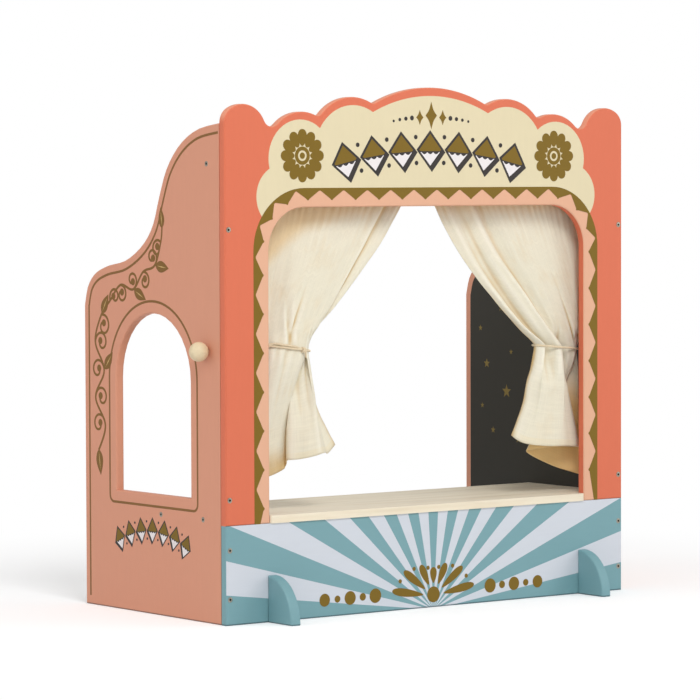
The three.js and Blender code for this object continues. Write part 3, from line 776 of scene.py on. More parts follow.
# Vine that climbs the back edge and the S-curve: a waving stem, curls and leaves
STEM = [(291, 206), (275, 240), (298, 276), (277, 312), (298, 349), (283, 385), (262, 404),
        (237, 425), (207, 420), (184, 443), (157, 452), (143, 482), (140, 501)]
LEAFY = (3, 5, 8, 10)
vine, eyes, leaves = [ribbon(catmull(STEM, 10), 3.6, 0.15)], [], []
for k in range(1, len(STEM) - 1):
    (a0, b0), (a1, b1), (a2, b2) = STEM[k - 1:k + 2]
    toward = direction((a1, b1), ((a0 + a2) / 2, (b0 + b2) / 2))
    side = 1 if (a1 - a0) * (b2 - b1) - (b1 - b0) * (a2 - a1) > 0 else -1
    size = 15.5 if k < 6 else 12.5
    cx, cy = a1 + size * math.cos(toward), b1 + size * math.sin(toward)
    curl = []
    for i in range(37):
        r = size * (1 - 0.74 * (i / 36) ** 0.9)
        a = math.radians(math.degrees(toward) + 180 + side * 390 * i / 36)
        curl.append((cx + r * math.cos(a), cy + r * math.sin(a)))
    vine.append(ribbon(curl, 3.4, 0.1))
    eyes.append(disc(*curl[-1], 4.8, 18))
    if k in LEAFY:
        out = toward + math.pi + side * 0.9
        leaves.append(leaf(a1 + 2 * math.cos(out), b1 + 2 * math.sin(out), 30, 15, math.degrees(out)))
leaves += [leaf(140, 500, 27, 13, 84), leaf(291, 207, 34, 16, 262)]
plates("left_vine_stem", vine, LEFT_OUTER, "leaf", 0.08)
plates("left_vine_eyes", eyes, LEFT_OUTER, "leaf", 0.10)
plates("left_vine_leaves", [body for body, _ in leaves], LEFT_OUTER, "leaf", 0.12)
plates("left_vine_veins", [vein for _, vein in leaves], LEFT_OUTER, "vein", 0.06, 0.12)
lozenge_row("left_lozenges", LEFT_OUTER, 7, 26.0, (12.0, 17.0), 190.0, (165.5, 109.0))

# Chalkboards inside, with stars as (y, z, outer radius, inner radius) on the right one
STARS = [(244, 380, 6, 2.6), (276, 300, 7, 3), (232, 262, 10, 4.2), (206, 196, 6.5, 2.8),
         (262, 206, 5, 2.1), (222, 318, 4, 1.7), (286, 240, 4, 1.7), (290, 350, 4.5, 1.9),
         (180, 240, 5, 2.1), (150, 300, 7, 3), (196, 420, 6, 2.5), (120, 380, 5, 2.1),
         (95, 470, 7, 3), (60, 560, 5, 2.1), (140, 520, 4, 1.7), (250, 90, 6, 2.5),
         (120, 80, 5, 2.1)]
margin = 11.0
front, back = BOARD + 12.0, SIDE_DEPTH - margin
edge = [p for p in inset_path(side_outline[:-1], margin) if p[0] > front][:-1]
chalk = [(front, edge[0][1]), *edge, (back, SIDE_TOP * 0.5), (back, SIDE_FOOT), (front, SIDE_FOOT)]
hole = arc(WIN_MID, WIN_SPRING, WIN_R + margin, 0, 180, 30)
hole += [(WIN_Y0 - margin, WIN_SILL - margin), (WIN_Y1 + margin, WIN_SILL - margin)]
plates("right_chalkboard", [chalk], RIGHT_INNER, "chalk", 0.12)
plates("right_chalk_stars", [star(*place) for place in STARS], RIGHT_INNER, "star", 0.1, 0.12)
plates("left_chalkboard", [(chalk, [hole[::-1]])], LEFT_INNER, "chalk", 0.12)

# Screws: their places from the CAD, their lengths, and the (radius, height) rings of the head
FRONT_SCREW_Z = (499.0, 158.5)
PLINTH_SCREW_Z = (95.0, 33.0)
SHELF_SCREW_Y, SHELF_SCREW_Z = (51.0, 146.0), 131.0
FOOT_SCREW_X, FOOT_SCREW_Z = HALF_WIDTH - 71.5, (15.0, 40.0)
SCREW_COLUMN = HALF_WIDTH - BOARD / 2
SCREW_LONG, FOOT_SCREW_LONG = 40, 30
SOCKET_RINGS = [(1.35, -1.5), (1.45, -0.12), (1.62, 0.0)]
HEAD_RINGS = [(3.1, 0.0), (3.42, -0.12), (3.5, -0.35), (1.8, -2.4)]


def screw(name, head, outward, length):
    """Flush countersunk head with a hexagon socket, and its plain shank."""
    n = 24
    rings = SOCKET_RINGS + HEAD_RINGS + [(1.75, 3.0 - length), (0.25, -length)]
    turn = Vector((0, 0, 1)).rotation_difference(Vector(outward)).to_matrix()
    verts, faces = [], []
    for k, (r, h) in enumerate(rings):
        for i in range(n):
            a = 2 * math.pi * i / n
            reach = r
            if k < len(SOCKET_RINGS):
                reach *= math.cos(math.pi / 6) / math.cos(a % (math.pi / 3) - math.pi / 6)
            place = Vector((reach * math.cos(a), reach * math.sin(a), h))
            verts.append(mm(*(turn @ place + Vector(head))))
    for k in range(len(rings) - 1):
        quads(faces, k * n, (k + 1) * n, n)
    socket_floor = len(faces)
    faces += [tuple(range(n)), tuple(range(len(verts) - 1, len(verts) - n - 1, -1))]
    obj = add_mesh(name + "_dressed", verts, faces, ["steel", "socket"], smoothed=True)
    # The socket's faces get the dark steel, painted shade in the recess
    for i in (*range(2 * n), socket_floor):
        obj.data.polygons[i].material_index = 1
    obj.data.set_sharp_from_angle(angle=math.radians(35))
    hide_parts(name)


for side, word in ((-1, "left"), (1, "right")):
    for kind, heights in (("front", FRONT_SCREW_Z), ("plinth", PLINTH_SCREW_Z)):
        for i, z in enumerate(heights):
            screw(f"{word}_{kind}_screw_{i + 1}", (side * SCREW_COLUMN, 0, z), (0, -1, 0), SCREW_LONG)
    outer, outward = side * HALF_WIDTH, (side, 0, 0)
    for i, y in enumerate(SHELF_SCREW_Y):
        screw(f"{word}_shelf_screw_{i + 1}", (outer, y, SHELF_SCREW_Z), outward, SCREW_LONG)
    screw(f"{word}_rod_screw", (outer, ROD_Y, ROD_Z), outward, SCREW_LONG)
    for i, z in enumerate(FOOT_SCREW_Z):
        screw(f"{word}_foot_screw_{i + 1}", (side * FOOT_SCREW_X, BOARD, z), (0, 1, 0), FOOT_SCREW_LONG)


# Front board: its head as circles (x, z, radius) from the post to the middle, mirrored, with
# the post's outer corner and the notches between the circles rounded
POST_LOBE = (300.5, 620.5, 36.5)
OUTER_LOBE = (208.5, 592.0, 56.0)
INNER_LOBE = (128.0, 599.5, 68.0)
CROWN = (0.0, 470.0, 211.0)
POST_CORNER = 20.5
NOTCH_ROUND = 12.5
CUSP_ROUND = 8.0
OPENING_CORNER = 56.0
EDGE_ROUND = 2.0
CLEAR_OVER_HEAD = 100.0

# The screws' bores as (radius, depth) from the countersink to the back
BORE = ((3.8, 0.0), (2.05, 2.7), (2.05, BOARD))
BORE_SIDES = 24


def notch(a, b, r):
    """The rounding circle that touches two neighbouring circles from above."""
    above = ((a[0] + b[0]) / 2, FRONT_HEIGHT + CLEAR_OVER_HEAD)
    return (*meet((a[0], a[1], a[2] + r), (b[0], b[1], b[2] + r), above), r)


def head_line():
    """The head's outline from the right edge to the left one."""
    corner_x = HALF_WIDTH - POST_CORNER
    aside = corner_x - POST_LOBE[0]
    above = math.sqrt((POST_LOBE[2] - POST_CORNER) ** 2 - aside ** 2)
    turn = math.atan2(above, aside)
    right = arc_between((corner_x, POST_LOBE[1] + above, POST_CORNER), 0, turn, 10)
    lobes = (POST_LOBE, OUTER_LOBE, INNER_LOBE, CROWN)
    for a, b, rounding in zip(lobes, lobes[1:], (NOTCH_ROUND, CUSP_ROUND, CUSP_ROUND)):
        small = notch(a, b, rounding)
        right += arc_between(a, turn, direction(a, small), 24)[1:]
        down, up = direction(small, a), direction(small, b)
        up -= 2 * math.pi if up > 0 else 0
        right += arc_between(small, down, up, 8)[1:]
        turn = direction(b, small)
    right += arc_between(CROWN, turn, math.pi / 2, 30)[1:]
    return right + [(-x, z) for x, z in right[-2::-1]]


def eased_inset(ring, inset):
    """The ring moved inward by mitred offsets; inward is left of its counterclockwise run."""
    moved = []
    for i, (x, z) in enumerate(ring):
        (x0, z0), (x1, z1) = ring[i - 1], ring[(i + 1) % len(ring)]
        l0, l1 = math.hypot(x - x0, z - z0), math.hypot(x1 - x, z1 - z)
        a = (-(z - z0) / l0, (x - x0) / l0)
        b = (-(z1 - z) / l1, (x1 - x) / l1)
        scale = inset / (1 + a[0] * b[0] + a[1] * b[1])
        moved.append((x + (a[0] + b[0]) * scale, z + (a[1] + b[1]) * scale))
    return moved


def front_board():
    """The upper front board with eased edges, its opening and its four screw bores."""
    corner_x, corner_z = OPENING_HALF - OPENING_CORNER, OPENING_TOP - OPENING_CORNER
    ring = [(HALF_WIDTH, SEAM)] + head_line() + [(-HALF_WIDTH, SEAM), (-OPENING_HALF, SEAM)]
    ring += arc(-corner_x, corner_z, OPENING_CORNER, 180, 90, 16)
    ring += arc(corner_x, corner_z, OPENING_CORNER, 90, 0, 16) + [(OPENING_HALF, SEAM)]
    n = len(ring)
    turns = [math.radians(a) for a in (0, 22.5, 45, 67.5, 90)]
    eases = [(EDGE_ROUND * (1 - math.sin(a)), EDGE_ROUND * (1 - math.cos(a))) for a in turns]
    steps = eases + [(inset, BOARD - y) for inset, y in eases[::-1]]
    verts, faces = [], []
    for inset, y in steps:
        verts += [mm(x, y, z) for x, z in eased_inset(ring, inset)]
    for k in range(len(steps) - 1):
        quads(faces, k * n, (k + 1) * n, n)
    heads = [(side * SCREW_COLUMN, z) for side in (-1, 1) for z in FRONT_SCREW_Z]
    bores = []
    for x, z in heads:
        start = len(verts)
        bores.append(start)
        for r, y in BORE:
            verts += [mm(a, y, b) for a, b in disc(x, z, r, BORE_SIDES)]
        for k in range(len(BORE) - 1):
            quads(faces, start + k * BORE_SIDES, start + (k + 1) * BORE_SIDES, BORE_SIDES)
    for start, end in ((0, 0), ((len(steps) - 1) * n, len(BORE) - 1)):
        loops = [flat(eased_inset(ring, EDGE_ROUND))]
        loops += [flat(disc(x, z, BORE[end][0], BORE_SIDES)) for x, z in heads]
        index = list(range(start, start + n))
        for bore in bores:
            index += range(bore + end * BORE_SIDES, bore + (end + 1) * BORE_SIDES)
        faces += [tuple(index[i] for i in triangle) for triangle in tessellate_polygon(loops)]
    obj = add_mesh("front_upper_board", verts, faces, ["front"], smoothed=True)
    obj.data.set_sharp_from_angle(angle=math.radians(26))
    near = 0.001 * MM
    for edge in obj.data.edges:
        ys = [obj.data.vertices[i].co.y for i in edge.vertices]
        if any(abs(ys[0] - rim) < near and abs(ys[1] - rim) < near
               for rim in (SHIFT_Y * MM, (SHIFT_Y + BOARD) * MM)):
            edge.use_edge_sharp = True
    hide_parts("front_upper_panel")


front_board()


def ball(side, word):
    """A turned ball with a blind bore, from (radius, distance outward to inward) rings."""
    n = 48
    rings = [(0.0, BALL_R - BALL_BORE), (BALL_BORE_R, BALL_R - BALL_BORE),
             (BALL_BORE_R, BALL_R - 0.35), (2.3, BALL_R - 0.25)]
    for i in range(1, 30):
        a = math.pi * i / 30
        x, r = BALL_R * math.cos(a), BALL_R * math.sin(a)
        if x < BALL_R - 0.35:
            rings.append((r, x))
    rings.append((0.0, -BALL_R))
    verts, faces, starts = [], [], []
    for r, x in rings:
        starts.append(len(verts))
        for a in [2 * math.pi * i / n for i in range(n if r else 1)]:
            verts.append(mm(side * (BALL_X - x), ROD_Y + r * math.cos(a), TIE_Z + r * math.sin(a)))
    for a, b in zip(starts[1:-2], starts[2:-1]):
        quads(faces, a, b, n)
    for i in range(n):
        j = (i + 1) % n
        faces += [(0, 1 + j, 1 + i), (starts[-2] + i, starts[-2] + j, starts[-1])]
    obj = add_mesh(f"{word}_pull_ball_turned", verts, faces, ["beech"], f"{word}_curtain_set", True)
    obj.data.set_sharp_from_angle(angle=math.radians(40))
    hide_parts(f"{word}_pull_ball")


ball(-1, "left")
ball(1, "right")


# Curtains: the flat sheet with its hem, the sleeve round the rod and the faces across and along
CLOTH_WIDE, CLOTH_LONG = 292.0, 465.0
CLOTH_THICK = 1.3
HEM_LONG = 11.0
SLEEVE_R = 8.1
COLUMNS, ROWS = 200, 156

# Waves of the cloth at the rod and under the tie as (number, slower waves, their bend), and how
# far down the rod's reach; the depth in which the cloth hangs and how far it bows forward
ROD_GATHERS, TIE_GATHERS = (23, 3, 1.3), (13, 4, 1.1)
GATHER_REACH = 36.0
HANG_Y, BOW = 27, 5.0

# Half the depth of the tied cloth, how far it may pass the loop's ends, and the cord outside it
TIE_HALF_DEPTH, TIE_ROOM, CORD_OUT = 16.0, 0.6, 1.6


def smooth(x):
    x = max(0.0, min(1.0, x))
    return x * x * (3 - 2 * x)


def spline_at(table, u):
    """Hermite value of a table of (u, a, b, ...) rows at u."""
    n = len(table) - 1
    i = 0
    while i < n - 1 and u > table[i + 1][0]:
        i += 1
    p1, p2 = table[i], table[i + 1]
    p0, p3 = table[max(i - 1, 0)], table[min(i + 2, n)]
    span = p2[0] - p1[0]
    f = (u - p1[0]) / span
    out = []
    for k in range(1, len(p1)):
        m1 = (p2[k] - p0[k]) / max(p2[0] - p0[0], 1e-6) * span
        m2 = (p3[k] - p1[k]) / max(p3[0] - p1[0], 1e-6) * span
        h00 = 2 * f ** 3 - 3 * f ** 2 + 1
        h10 = f ** 3 - 2 * f ** 2 + f
        h01 = -2 * f ** 3 + 3 * f ** 2
        h11 = f ** 3 - f ** 2
        out.append(h00 * p1[k] + h10 * m1 + h01 * p2[k] + h11 * m2)
    return out


def step(q):
    """A crease that is steep just beyond a fold's crest and easy further on."""
    return smooth(q / 0.36) * (1 - smooth((q - 0.36) / 0.8)) - 0.12 * math.exp(-(q / 0.2) ** 2)


def groove(q):
    """A crease with the same slope on both sides."""
    return 1.0 / (1.0 + q * q * q * q) - 0.25 * math.exp(-((abs(q) - 1.8) / 0.6) ** 2)


# The curtains' tables, in millimetres. Shares u run from the free edge to the wall
# edge, f from the rod to the tie and w from the tie to the hem; x is the distance out from the
# middle of the stand, y the depth and z the height.
# head: x of the two edges at the rod. edge, skirt_edge: the free edge as (f, x) and (w, x).
# loop: x of the cord's loop at its free and wall ends. tie_z: the height of its middle.
# tilt: how far its wall end lies over the middle.
# neck, tie: the folds as (u, x, y) just over the tie and in it. hem: the same as (u, x, y, z).
# lines, skirt_lines: creases over and under the tie as (shape, width in u, [(f or w, u, depth)]).
# shadow: the lower end of the shade under the board's head, as (x, z). shadow_depth: its tone.
# fan: how quickly the skirt spreads under the tie. open, flap_open: the share of the skirt in
# which its folds reach the hem's depth, in its main part and at the free edge.
# recede: how much deeper the wall side hangs. rear: the u where the back layers begin.
# curl: the shaded part of the hem as (first u, last u, top z).
LEFT = {
    "side": -1, "word": "left",
    "head": (-1.0, 285.0),
    "edge": [(0.0, -1), (0.12, 10), (0.2365, 26.5), (0.30, 37), (0.413, 57.5), (0.47, 69), (0.531, 82.5),
             (0.60, 97.5), (0.658, 110.5), (0.72, 124.5), (0.784, 139), (0.863, 158.5), (0.919, 170),
             (0.97, 174), (1.0, 173)],
    "skirt_edge": [(0.0, 173), (0.05, 171.8), (0.16, 169.3), (0.285, 166.2), (0.41, 163.5), (0.54, 161.5),
                   (0.67, 155.2), (0.80, 145.5), (0.90, 138), (1.0, 130.5)],
    "loop": (173.3, 249.9), "tie_z": 346.0, "tilt": 5.0,
    "neck": [(0.0, 169, 41), (0.035, 170.5, 34), (0.07, 173.5, 29), (0.09, 175, 31), (0.105, 175.5, 28),
             (0.15, 177.5, 25.5), (0.25, 182, 24.5), (0.325, 187, 24), (0.37, 195, 24), (0.44, 210, 25),
             (0.455, 213, 30), (0.47, 216, 26), (0.51, 223, 25), (0.60, 237, 30), (0.70, 248, 38),
             (0.85, 250, 44), (1.0, 251, 46)],
    "tie": [(0.0, 172.5, 42), (0.03, 173, 35), (0.055, 174.5, 28), (0.075, 176.5, 26.5), (0.09, 177.5, 29),
            (0.11, 178.5, 33), (0.14, 179.5, 36), (0.17, 181, 34), (0.20, 182, 31), (0.23, 183, 35),
            (0.26, 184, 39.5), (0.285, 182.5, 35), (0.305, 181, 29), (0.325, 180.5, 25.5), (0.36, 186, 23.5),
            (0.40, 196, 23), (0.44, 206.5, 24), (0.465, 213, 25.2), (0.485, 217, 24.6), (0.52, 225, 24),
            (0.565, 234, 27), (0.61, 242, 33), (0.67, 249, 41), (0.73, 242, 46), (0.78, 228, 43),
            (0.83, 214, 48), (0.87, 204, 52), (0.91, 216, 55), (0.95, 232, 52), (1.0, 248, 46)],
    "hem": [(0.0, 130.5, 38, 218), (0.03, 146, 33, 208), (0.055, 151, 28, 210.5), (0.10, 160, 22, 210),
            (0.17, 176, 22, 206), (0.23, 194, 27, 203), (0.265, 204, 31, 202), (0.29, 208.5, 37, 201),
            (0.315, 205, 43, 197), (0.34, 205.5, 46, 191), (0.37, 212, 44, 188), (0.44, 229, 38, 184),
            (0.52, 250, 34, 180), (0.60, 268, 37, 176), (0.66, 276, 46, 172), (0.74, 262, 57, 170),
            (0.84, 240, 61, 168), (0.92, 256, 63, 167), (1.0, 276, 56, 166)],
    "lines": [(step, -0.09, [(0.04, 0.122, 3.2), (0.24, 0.135, 4.8), (0.466, 0.14, 4.8), (0.66, 0.122, 4.4),
                             (0.80, 0.092, 4.0), (0.92, 0.05, 2.0), (1.0, 0.03, 0.0)]),
              (groove, 0.019, [(0.72, 0.56, 0.0), (0.82, 0.52, 1.8), (0.93, 0.475, 2.6), (1.0, 0.455, 0.0)]),
              (groove, 0.06, [(0.35, 0.70, 0.0), (0.6, 0.66, 2.2), (0.9, 0.60, 2.6), (1.0, 0.58, 0.0)])],
    "shadow": [(0, 514), (90, 506), (140, 498), (175, 489), (200, 477), (216, 463), (235, 446), (290, 420)],
    "shadow_depth": 0.55,
    "skirt_lines": [(groove, 0.04, [(0.0, 0.17, 0.0), (0.12, 0.19, 5.0), (0.3, 0.205, 6.5), (0.5, 0.20, 4.5),
                                    (0.8, 0.19, 0.0)]),
                    (groove, 0.035, [(0.45, 0.10, 0.0), (0.75, 0.085, 1.8), (1.0, 0.075, 2.6)])],
    "fan": 3.0, "open": 0.85, "flap_open": 0.8, "recede": 17.0, "rear": 0.68,
    "curl": (0.3, 0.72, 222),
}
RIGHT = {
    "side": 1, "word": "right",
    "head": (3.0, 285.0),
    "edge": [(0.0, 3), (0.12, 14), (0.233, 31), (0.314, 42), (0.413, 58), (0.47, 68), (0.53, 79.5),
             (0.60, 95), (0.66, 109), (0.72, 124.5), (0.784, 141), (0.863, 164.5), (0.92, 182),
             (0.97, 199.5), (1.0, 208.5)],
    "skirt_edge": [(0.0, 208.5), (0.07, 207), (0.16, 204), (0.275, 199.5), (0.385, 193.5), (0.5, 190),
                   (0.61, 187), (0.72, 181.5), (0.81, 176), (0.90, 171), (1.0, 165)],
    "loop": (210.4, 279.9), "tie_z": 333.5, "tilt": -3.5,
    "neck": [(0.0, 206, 40), (0.035, 208, 32), (0.06, 211, 28), (0.085, 214.5, 33), (0.11, 218, 34),
             (0.15, 225, 29), (0.20, 235, 25), (0.235, 241, 23.5), (0.255, 243.5, 25.5), (0.27, 244.5, 29),
             (0.32, 247, 31.5), (0.39, 250, 31.5), (0.46, 254.5, 29.5), (0.52, 260.5, 27.5),
             (0.56, 266.5, 27.5), (0.582, 271, 28.5), (0.595, 273.5, 33), (0.61, 275.5, 28.5),
             (0.64, 278.5, 27), (0.69, 283, 26), (0.85, 285, 25), (1.0, 286, 25)],
    "tie": [(0.0, 209.5, 41), (0.025, 210.5, 33), (0.05, 213, 27.5), (0.07, 216, 27.5), (0.10, 219, 33),
            (0.13, 223, 34), (0.16, 228, 31), (0.20, 236, 26), (0.235, 243, 22.5), (0.255, 245, 25),
            (0.27, 244, 27.5), (0.30, 238, 29), (0.33, 232, 30.5), (0.355, 236.5, 31.5), (0.38, 241, 32.5),
            (0.40, 237.5, 34), (0.42, 234, 35.5), (0.44, 240, 37), (0.465, 247, 37), (0.49, 252.5, 33),
            (0.515, 257.5, 29.5), (0.54, 262.5, 28), (0.565, 267.5, 28.5), (0.583, 271.5, 30),
            (0.595, 273.5, 35), (0.61, 275.5, 30), (0.64, 279.5, 28.5), (0.67, 283, 33), (0.70, 281, 41),
            (0.755, 266, 46), (0.80, 252, 49.5), (0.84, 240, 52), (0.88, 248, 55), (0.92, 261, 53),
            (0.965, 277, 45), (1.0, 285, 36)],
    "hem": [(0.0, 165, 37, 217), (0.025, 168.5, 31, 212), (0.06, 178, 26, 206.5), (0.12, 197, 21, 203),
            (0.22, 226, 18, 201), (0.32, 252, 20, 199), (0.38, 268, 22, 198), (0.42, 278, 26, 198),
            (0.445, 282, 31, 197), (0.465, 278, 36, 197), (0.51, 268, 41, 197), (0.60, 240, 42, 197),
            (0.67, 218, 43, 196), (0.70, 206, 45, 195), (0.72, 202, 49, 194.5), (0.745, 206, 52, 190.5),
            (0.82, 228, 50, 179.5), (0.90, 253, 46, 169), (0.96, 275, 41, 162), (1.0, 287, 36, 158)],
    "lines": [(step, 0.15, [(0.05, 0.24, 2.0), (0.16, 0.225, 4.5), (0.30, 0.212, 5.8), (0.50, 0.212, 6.4),
                            (0.70, 0.232, 6.2), (0.90, 0.225, 3.5), (1.0, 0.235, 0.0)]),
              (groove, 0.036, [(0.08, 0.165, 0.0), (0.25, 0.14, 3.0), (0.5, 0.12, 4.5), (0.7, 0.11, 5.5),
                               (0.85, 0.10, 5.0), (0.95, 0.095, 2.5), (1.0, 0.095, 0.0)]),
              (groove, 0.022, [(0.64, 0.93, 0.0), (0.72, 0.87, 1.6), (0.85, 0.75, 2.4), (0.93, 0.66, 2.4),
                               (0.97, 0.62, 2.0), (1.0, 0.60, 0.0)])],
    "shadow": [(0, 508), (290, 508)],
    "shadow_depth": 0.6,
    "skirt_lines": [(groove, 0.05, [(0.0, 0.11, 0.0), (0.07, 0.125, 4.0), (0.2, 0.14, 4.0),
                                    (0.42, 0.15, 0.0)]),
                    (groove, 0.07, [(0.4, 0.16, 0.0), (0.7, 0.15, 2.0), (1.0, 0.14, 0.6)])],
    "fan": 1.0, "open": 0.45, "flap_open": 0.45, "recede": -4.0, "rear": 0.5,
    "curl": (1.0, 1.1, 0),
}


def loop_of(spec):
    """The middle of the cord's loop and half its width."""
    free, wall = spec["loop"]
    return (free + wall) / 2, (wall - free) / 2


def tie_point(spec, u):
    """A point of the cloth in the tie, kept inside the cord's loop."""
    x, y = spline_at(spec["tie"], u)
    middle, half = loop_of(spec)
    out = math.hypot((x - middle) / (half + TIE_ROOM), (y - ROD_Y) / TIE_HALF_DEPTH)
    if out > 1:
        x, y = middle + (x - middle) / out, ROD_Y + (y - ROD_Y) / out
    return x, y, spec["tie_z"] + spec["tilt"] * (x - middle) / half


def gathers(u, count, slow, bend):
    """Small waves across the cloth, spaced unevenly."""
    return math.sin(2 * math.pi * count * u + bend * math.sin(2 * math.pi * slow * u))


def creases(lines, share, u):
    """How far back the creases lie at a place of the cloth."""
    back = 0.0
    for shape, width, line in lines:
        if line[0][0] < share < line[-1][0]:
            place, deep = spline_at(line, share)
            back += deep * shape((u - place) / width)
    return back


def drop_point(spec, u, f, head_x, tie):
    """A point between the rod and the tie."""
    nx, ny = spline_at(spec["neck"], u)
    tx, ty, tz = tie
    way = f ** 0.92
    z = ROD_Z + (tz - ROD_Z) * f

    # Out: on the way from the head to the neck, drawn to the free edge near it
    edge = spline_at(spec["edge"], f)[0]
    straight = spec["head"][0] + (spec["neck"][0][1] - spec["head"][0]) * way
    x = head_x + (nx - head_x) * way
    x += (edge - straight) * (1 - u) ** (1.6 + 3 * f ** 4)

    # Depth: from the front of the sleeve to the neck, with the bow, creases and gathers
    plain_y = HANG_Y + spec["recede"] * smooth((u - 0.45) / 0.4)
    low_y = plain_y + (ny - plain_y) * f ** 4
    top_y = ROD_Y - SLEEVE_R + 1.2
    y = top_y + (low_y - top_y) * smooth(f) ** 1.3
    y -= BOW * math.sin(math.pi * f ** 0.8) * math.sin(math.pi * min(1.0, 0.1 + u * 0.95))
    y += creases(spec["lines"], f, u)
    y += 2.2 * gathers(u, *ROD_GATHERS) * math.exp(-((ROD_Z - z) / GATHER_REACH) ** 1.2)
    y += 0.35 * math.sin(2 * math.pi * 5.3 * u + 1.7) * math.sin(math.pi * f)

    # The last stretch leads from the neck into the tie
    end_x = nx + (spec["edge"][-1][1] - spec["neck"][0][1]) * (1 - u) ** 4.6
    last = smooth((f - 0.87) / 0.13)
    return x + (tx - end_x) * last, y + (ty - ny) * last, z


def skirt_point(spec, u, w, tie):
    """A point between the tie and the hem."""
    tx, ty, tz = tie
    hx, hy, hz = spline_at(spec["hem"], u)
    middle, _ = loop_of(spec)
    free_tie, free_hem = spec["tie"][0][1], spec["hem"][0][1]
    spread = (free_tie - spline_at(spec["skirt_edge"], w)[0]) / (free_tie - free_hem)
    quick = 1 - (1 - w) ** spec["fan"]
    even = quick + (0.55 * w + 0.45 * w ** 1.6 - quick) * smooth((u - 0.42) / 0.25)
    inner = smooth(u / 0.3)
    x = tx + (hx - tx) * (spread * (1 - inner) + even * inner)

    # Depth: from the tie's folds to the hem's, swollen just under the tie
    opened = spec["flap_open"] + (spec["open"] - spec["flap_open"]) * smooth((u - 0.2) / 0.1)
    y = ty + (hy - ty) * smooth(w / opened)
    swell = 0.12 * smooth(w / 0.12) * (1 - smooth(w / 0.7))
    x += (x - middle) * swell * 0.3 * inner
    y += (y - ROD_Y) * swell
    y += 0.6 * gathers(u, *TIE_GATHERS) * (1 - smooth(w / 0.4)) * smooth(w / 0.06)
    y += creases(spec["skirt_lines"], w, u)
    y += 0.8 * math.sin(2 * math.pi * 5.5 * u + spec["side"]) * math.sin(math.pi * w)
    return x, y, tz + (hz - tz) * w


def evenly(path, count):
    """Points at even distances along a path, ends included."""
    lengths = [0.0]
    for p, q in zip(path, path[1:]):
        lengths.append(lengths[-1] + math.dist(p, q))
    out = []
    j = 0
    for r in range(count + 1):
        want = lengths[-1] * r / count
        while j < len(lengths) - 2 and lengths[j + 1] < want:
            j += 1
        f = (want - lengths[j]) / max(lengths[j + 1] - lengths[j], 1e-9)
        out.append(tuple(a + (b - a) * f for a, b in zip(path[j], path[j + 1])))
    return out


def column(spec, u):
    """Points of one column of the cloth: sleeve on the rod, drop to the tie, skirt to the hem."""
    head_x = spec["head"][0] + (spec["head"][1] - spec["head"][0]) * u
    tie = tie_point(spec, u)
    sleeve_steps, drop_steps, skirt_steps = 21, 84, 72
    path = []
    for i in range(sleeve_steps + 1):
        a = math.radians(-112 + 292 * i / sleeve_steps)
        r = SLEEVE_R + 0.7 * gathers(u, *ROD_GATHERS) * smooth(i / 6)
        path.append((head_x, ROD_Y + r * math.cos(a), ROD_Z + r * math.sin(a)))
    path += [drop_point(spec, u, i / drop_steps, head_x, tie) for i in range(1, drop_steps)] + [tie]
    path += [skirt_point(spec, u, i / skirt_steps, tie) for i in range(1, skirt_steps + 1)]
    return evenly(path, ROWS)


def under_head(spec, x, z):
    """How far a point lies in the shade of the front board's head, from 0 to 1."""
    return smooth((z - spline_at(spec["shadow"], min(max(x, 0), 290))[0]) / 26)


def shade_of(spec, grid, c, r):
    """How much painted shade a point of the cloth gets: in a fold, under the head, at the back, in the
    curl of the hem. Ridges are negative, for a painted highlight."""
    x, y, z = grid[c][r]
    near = [grid[min(max(c + d, 0), COLUMNS)][r][1] for d in (-5, -3, 3, 5)]
    hollow = y - sum(near) / 4
    fold = smooth(hollow / 2.6)
    ridge = smooth(-hollow / 1.6)
    head = 0.12 * under_head(spec, x, z)
    rear = 0.0 if z < spec["tie_z"] else 0.35 * smooth((y - 46) / 6)
    low, high, top = spec["curl"]
    u = c / COLUMNS
    curl = smooth((u - low) / 0.03) * smooth((high - u) / 0.1) * smooth((top - z) / 26)
    shade = min(1.0, 1 - (1 - 0.9 * fold) * (1 - head) * (1 - rear) * (1 - 0.8 * curl))
    return shade - 0.8 * ridge * (1 - head) * (1 - rear) * (1 - curl)


def crumpled(spec, u, v, point):
    """The point moved by the cloth's small unevenness, which leaves the sleeve alone."""
    side = spec["side"]

    def rough(across, along_it, seed):
        return mnoise.noise(Vector((u * across, along_it, seed * side)))

    x, y, z = point
    calm = smooth((v - 0.1) / 0.1)
    y += (0.75 * rough(11, v * 6, 3.1) + 0.35 * rough(30, v * 14, 7.7)) * calm
    x += 0.5 * calm * rough(9, v * 12, 11.3)
    z += 0.9 * rough(8, 2.0, 5.0) * smooth((v - 0.9) / 0.1)
    return mm(side * x, y, z)


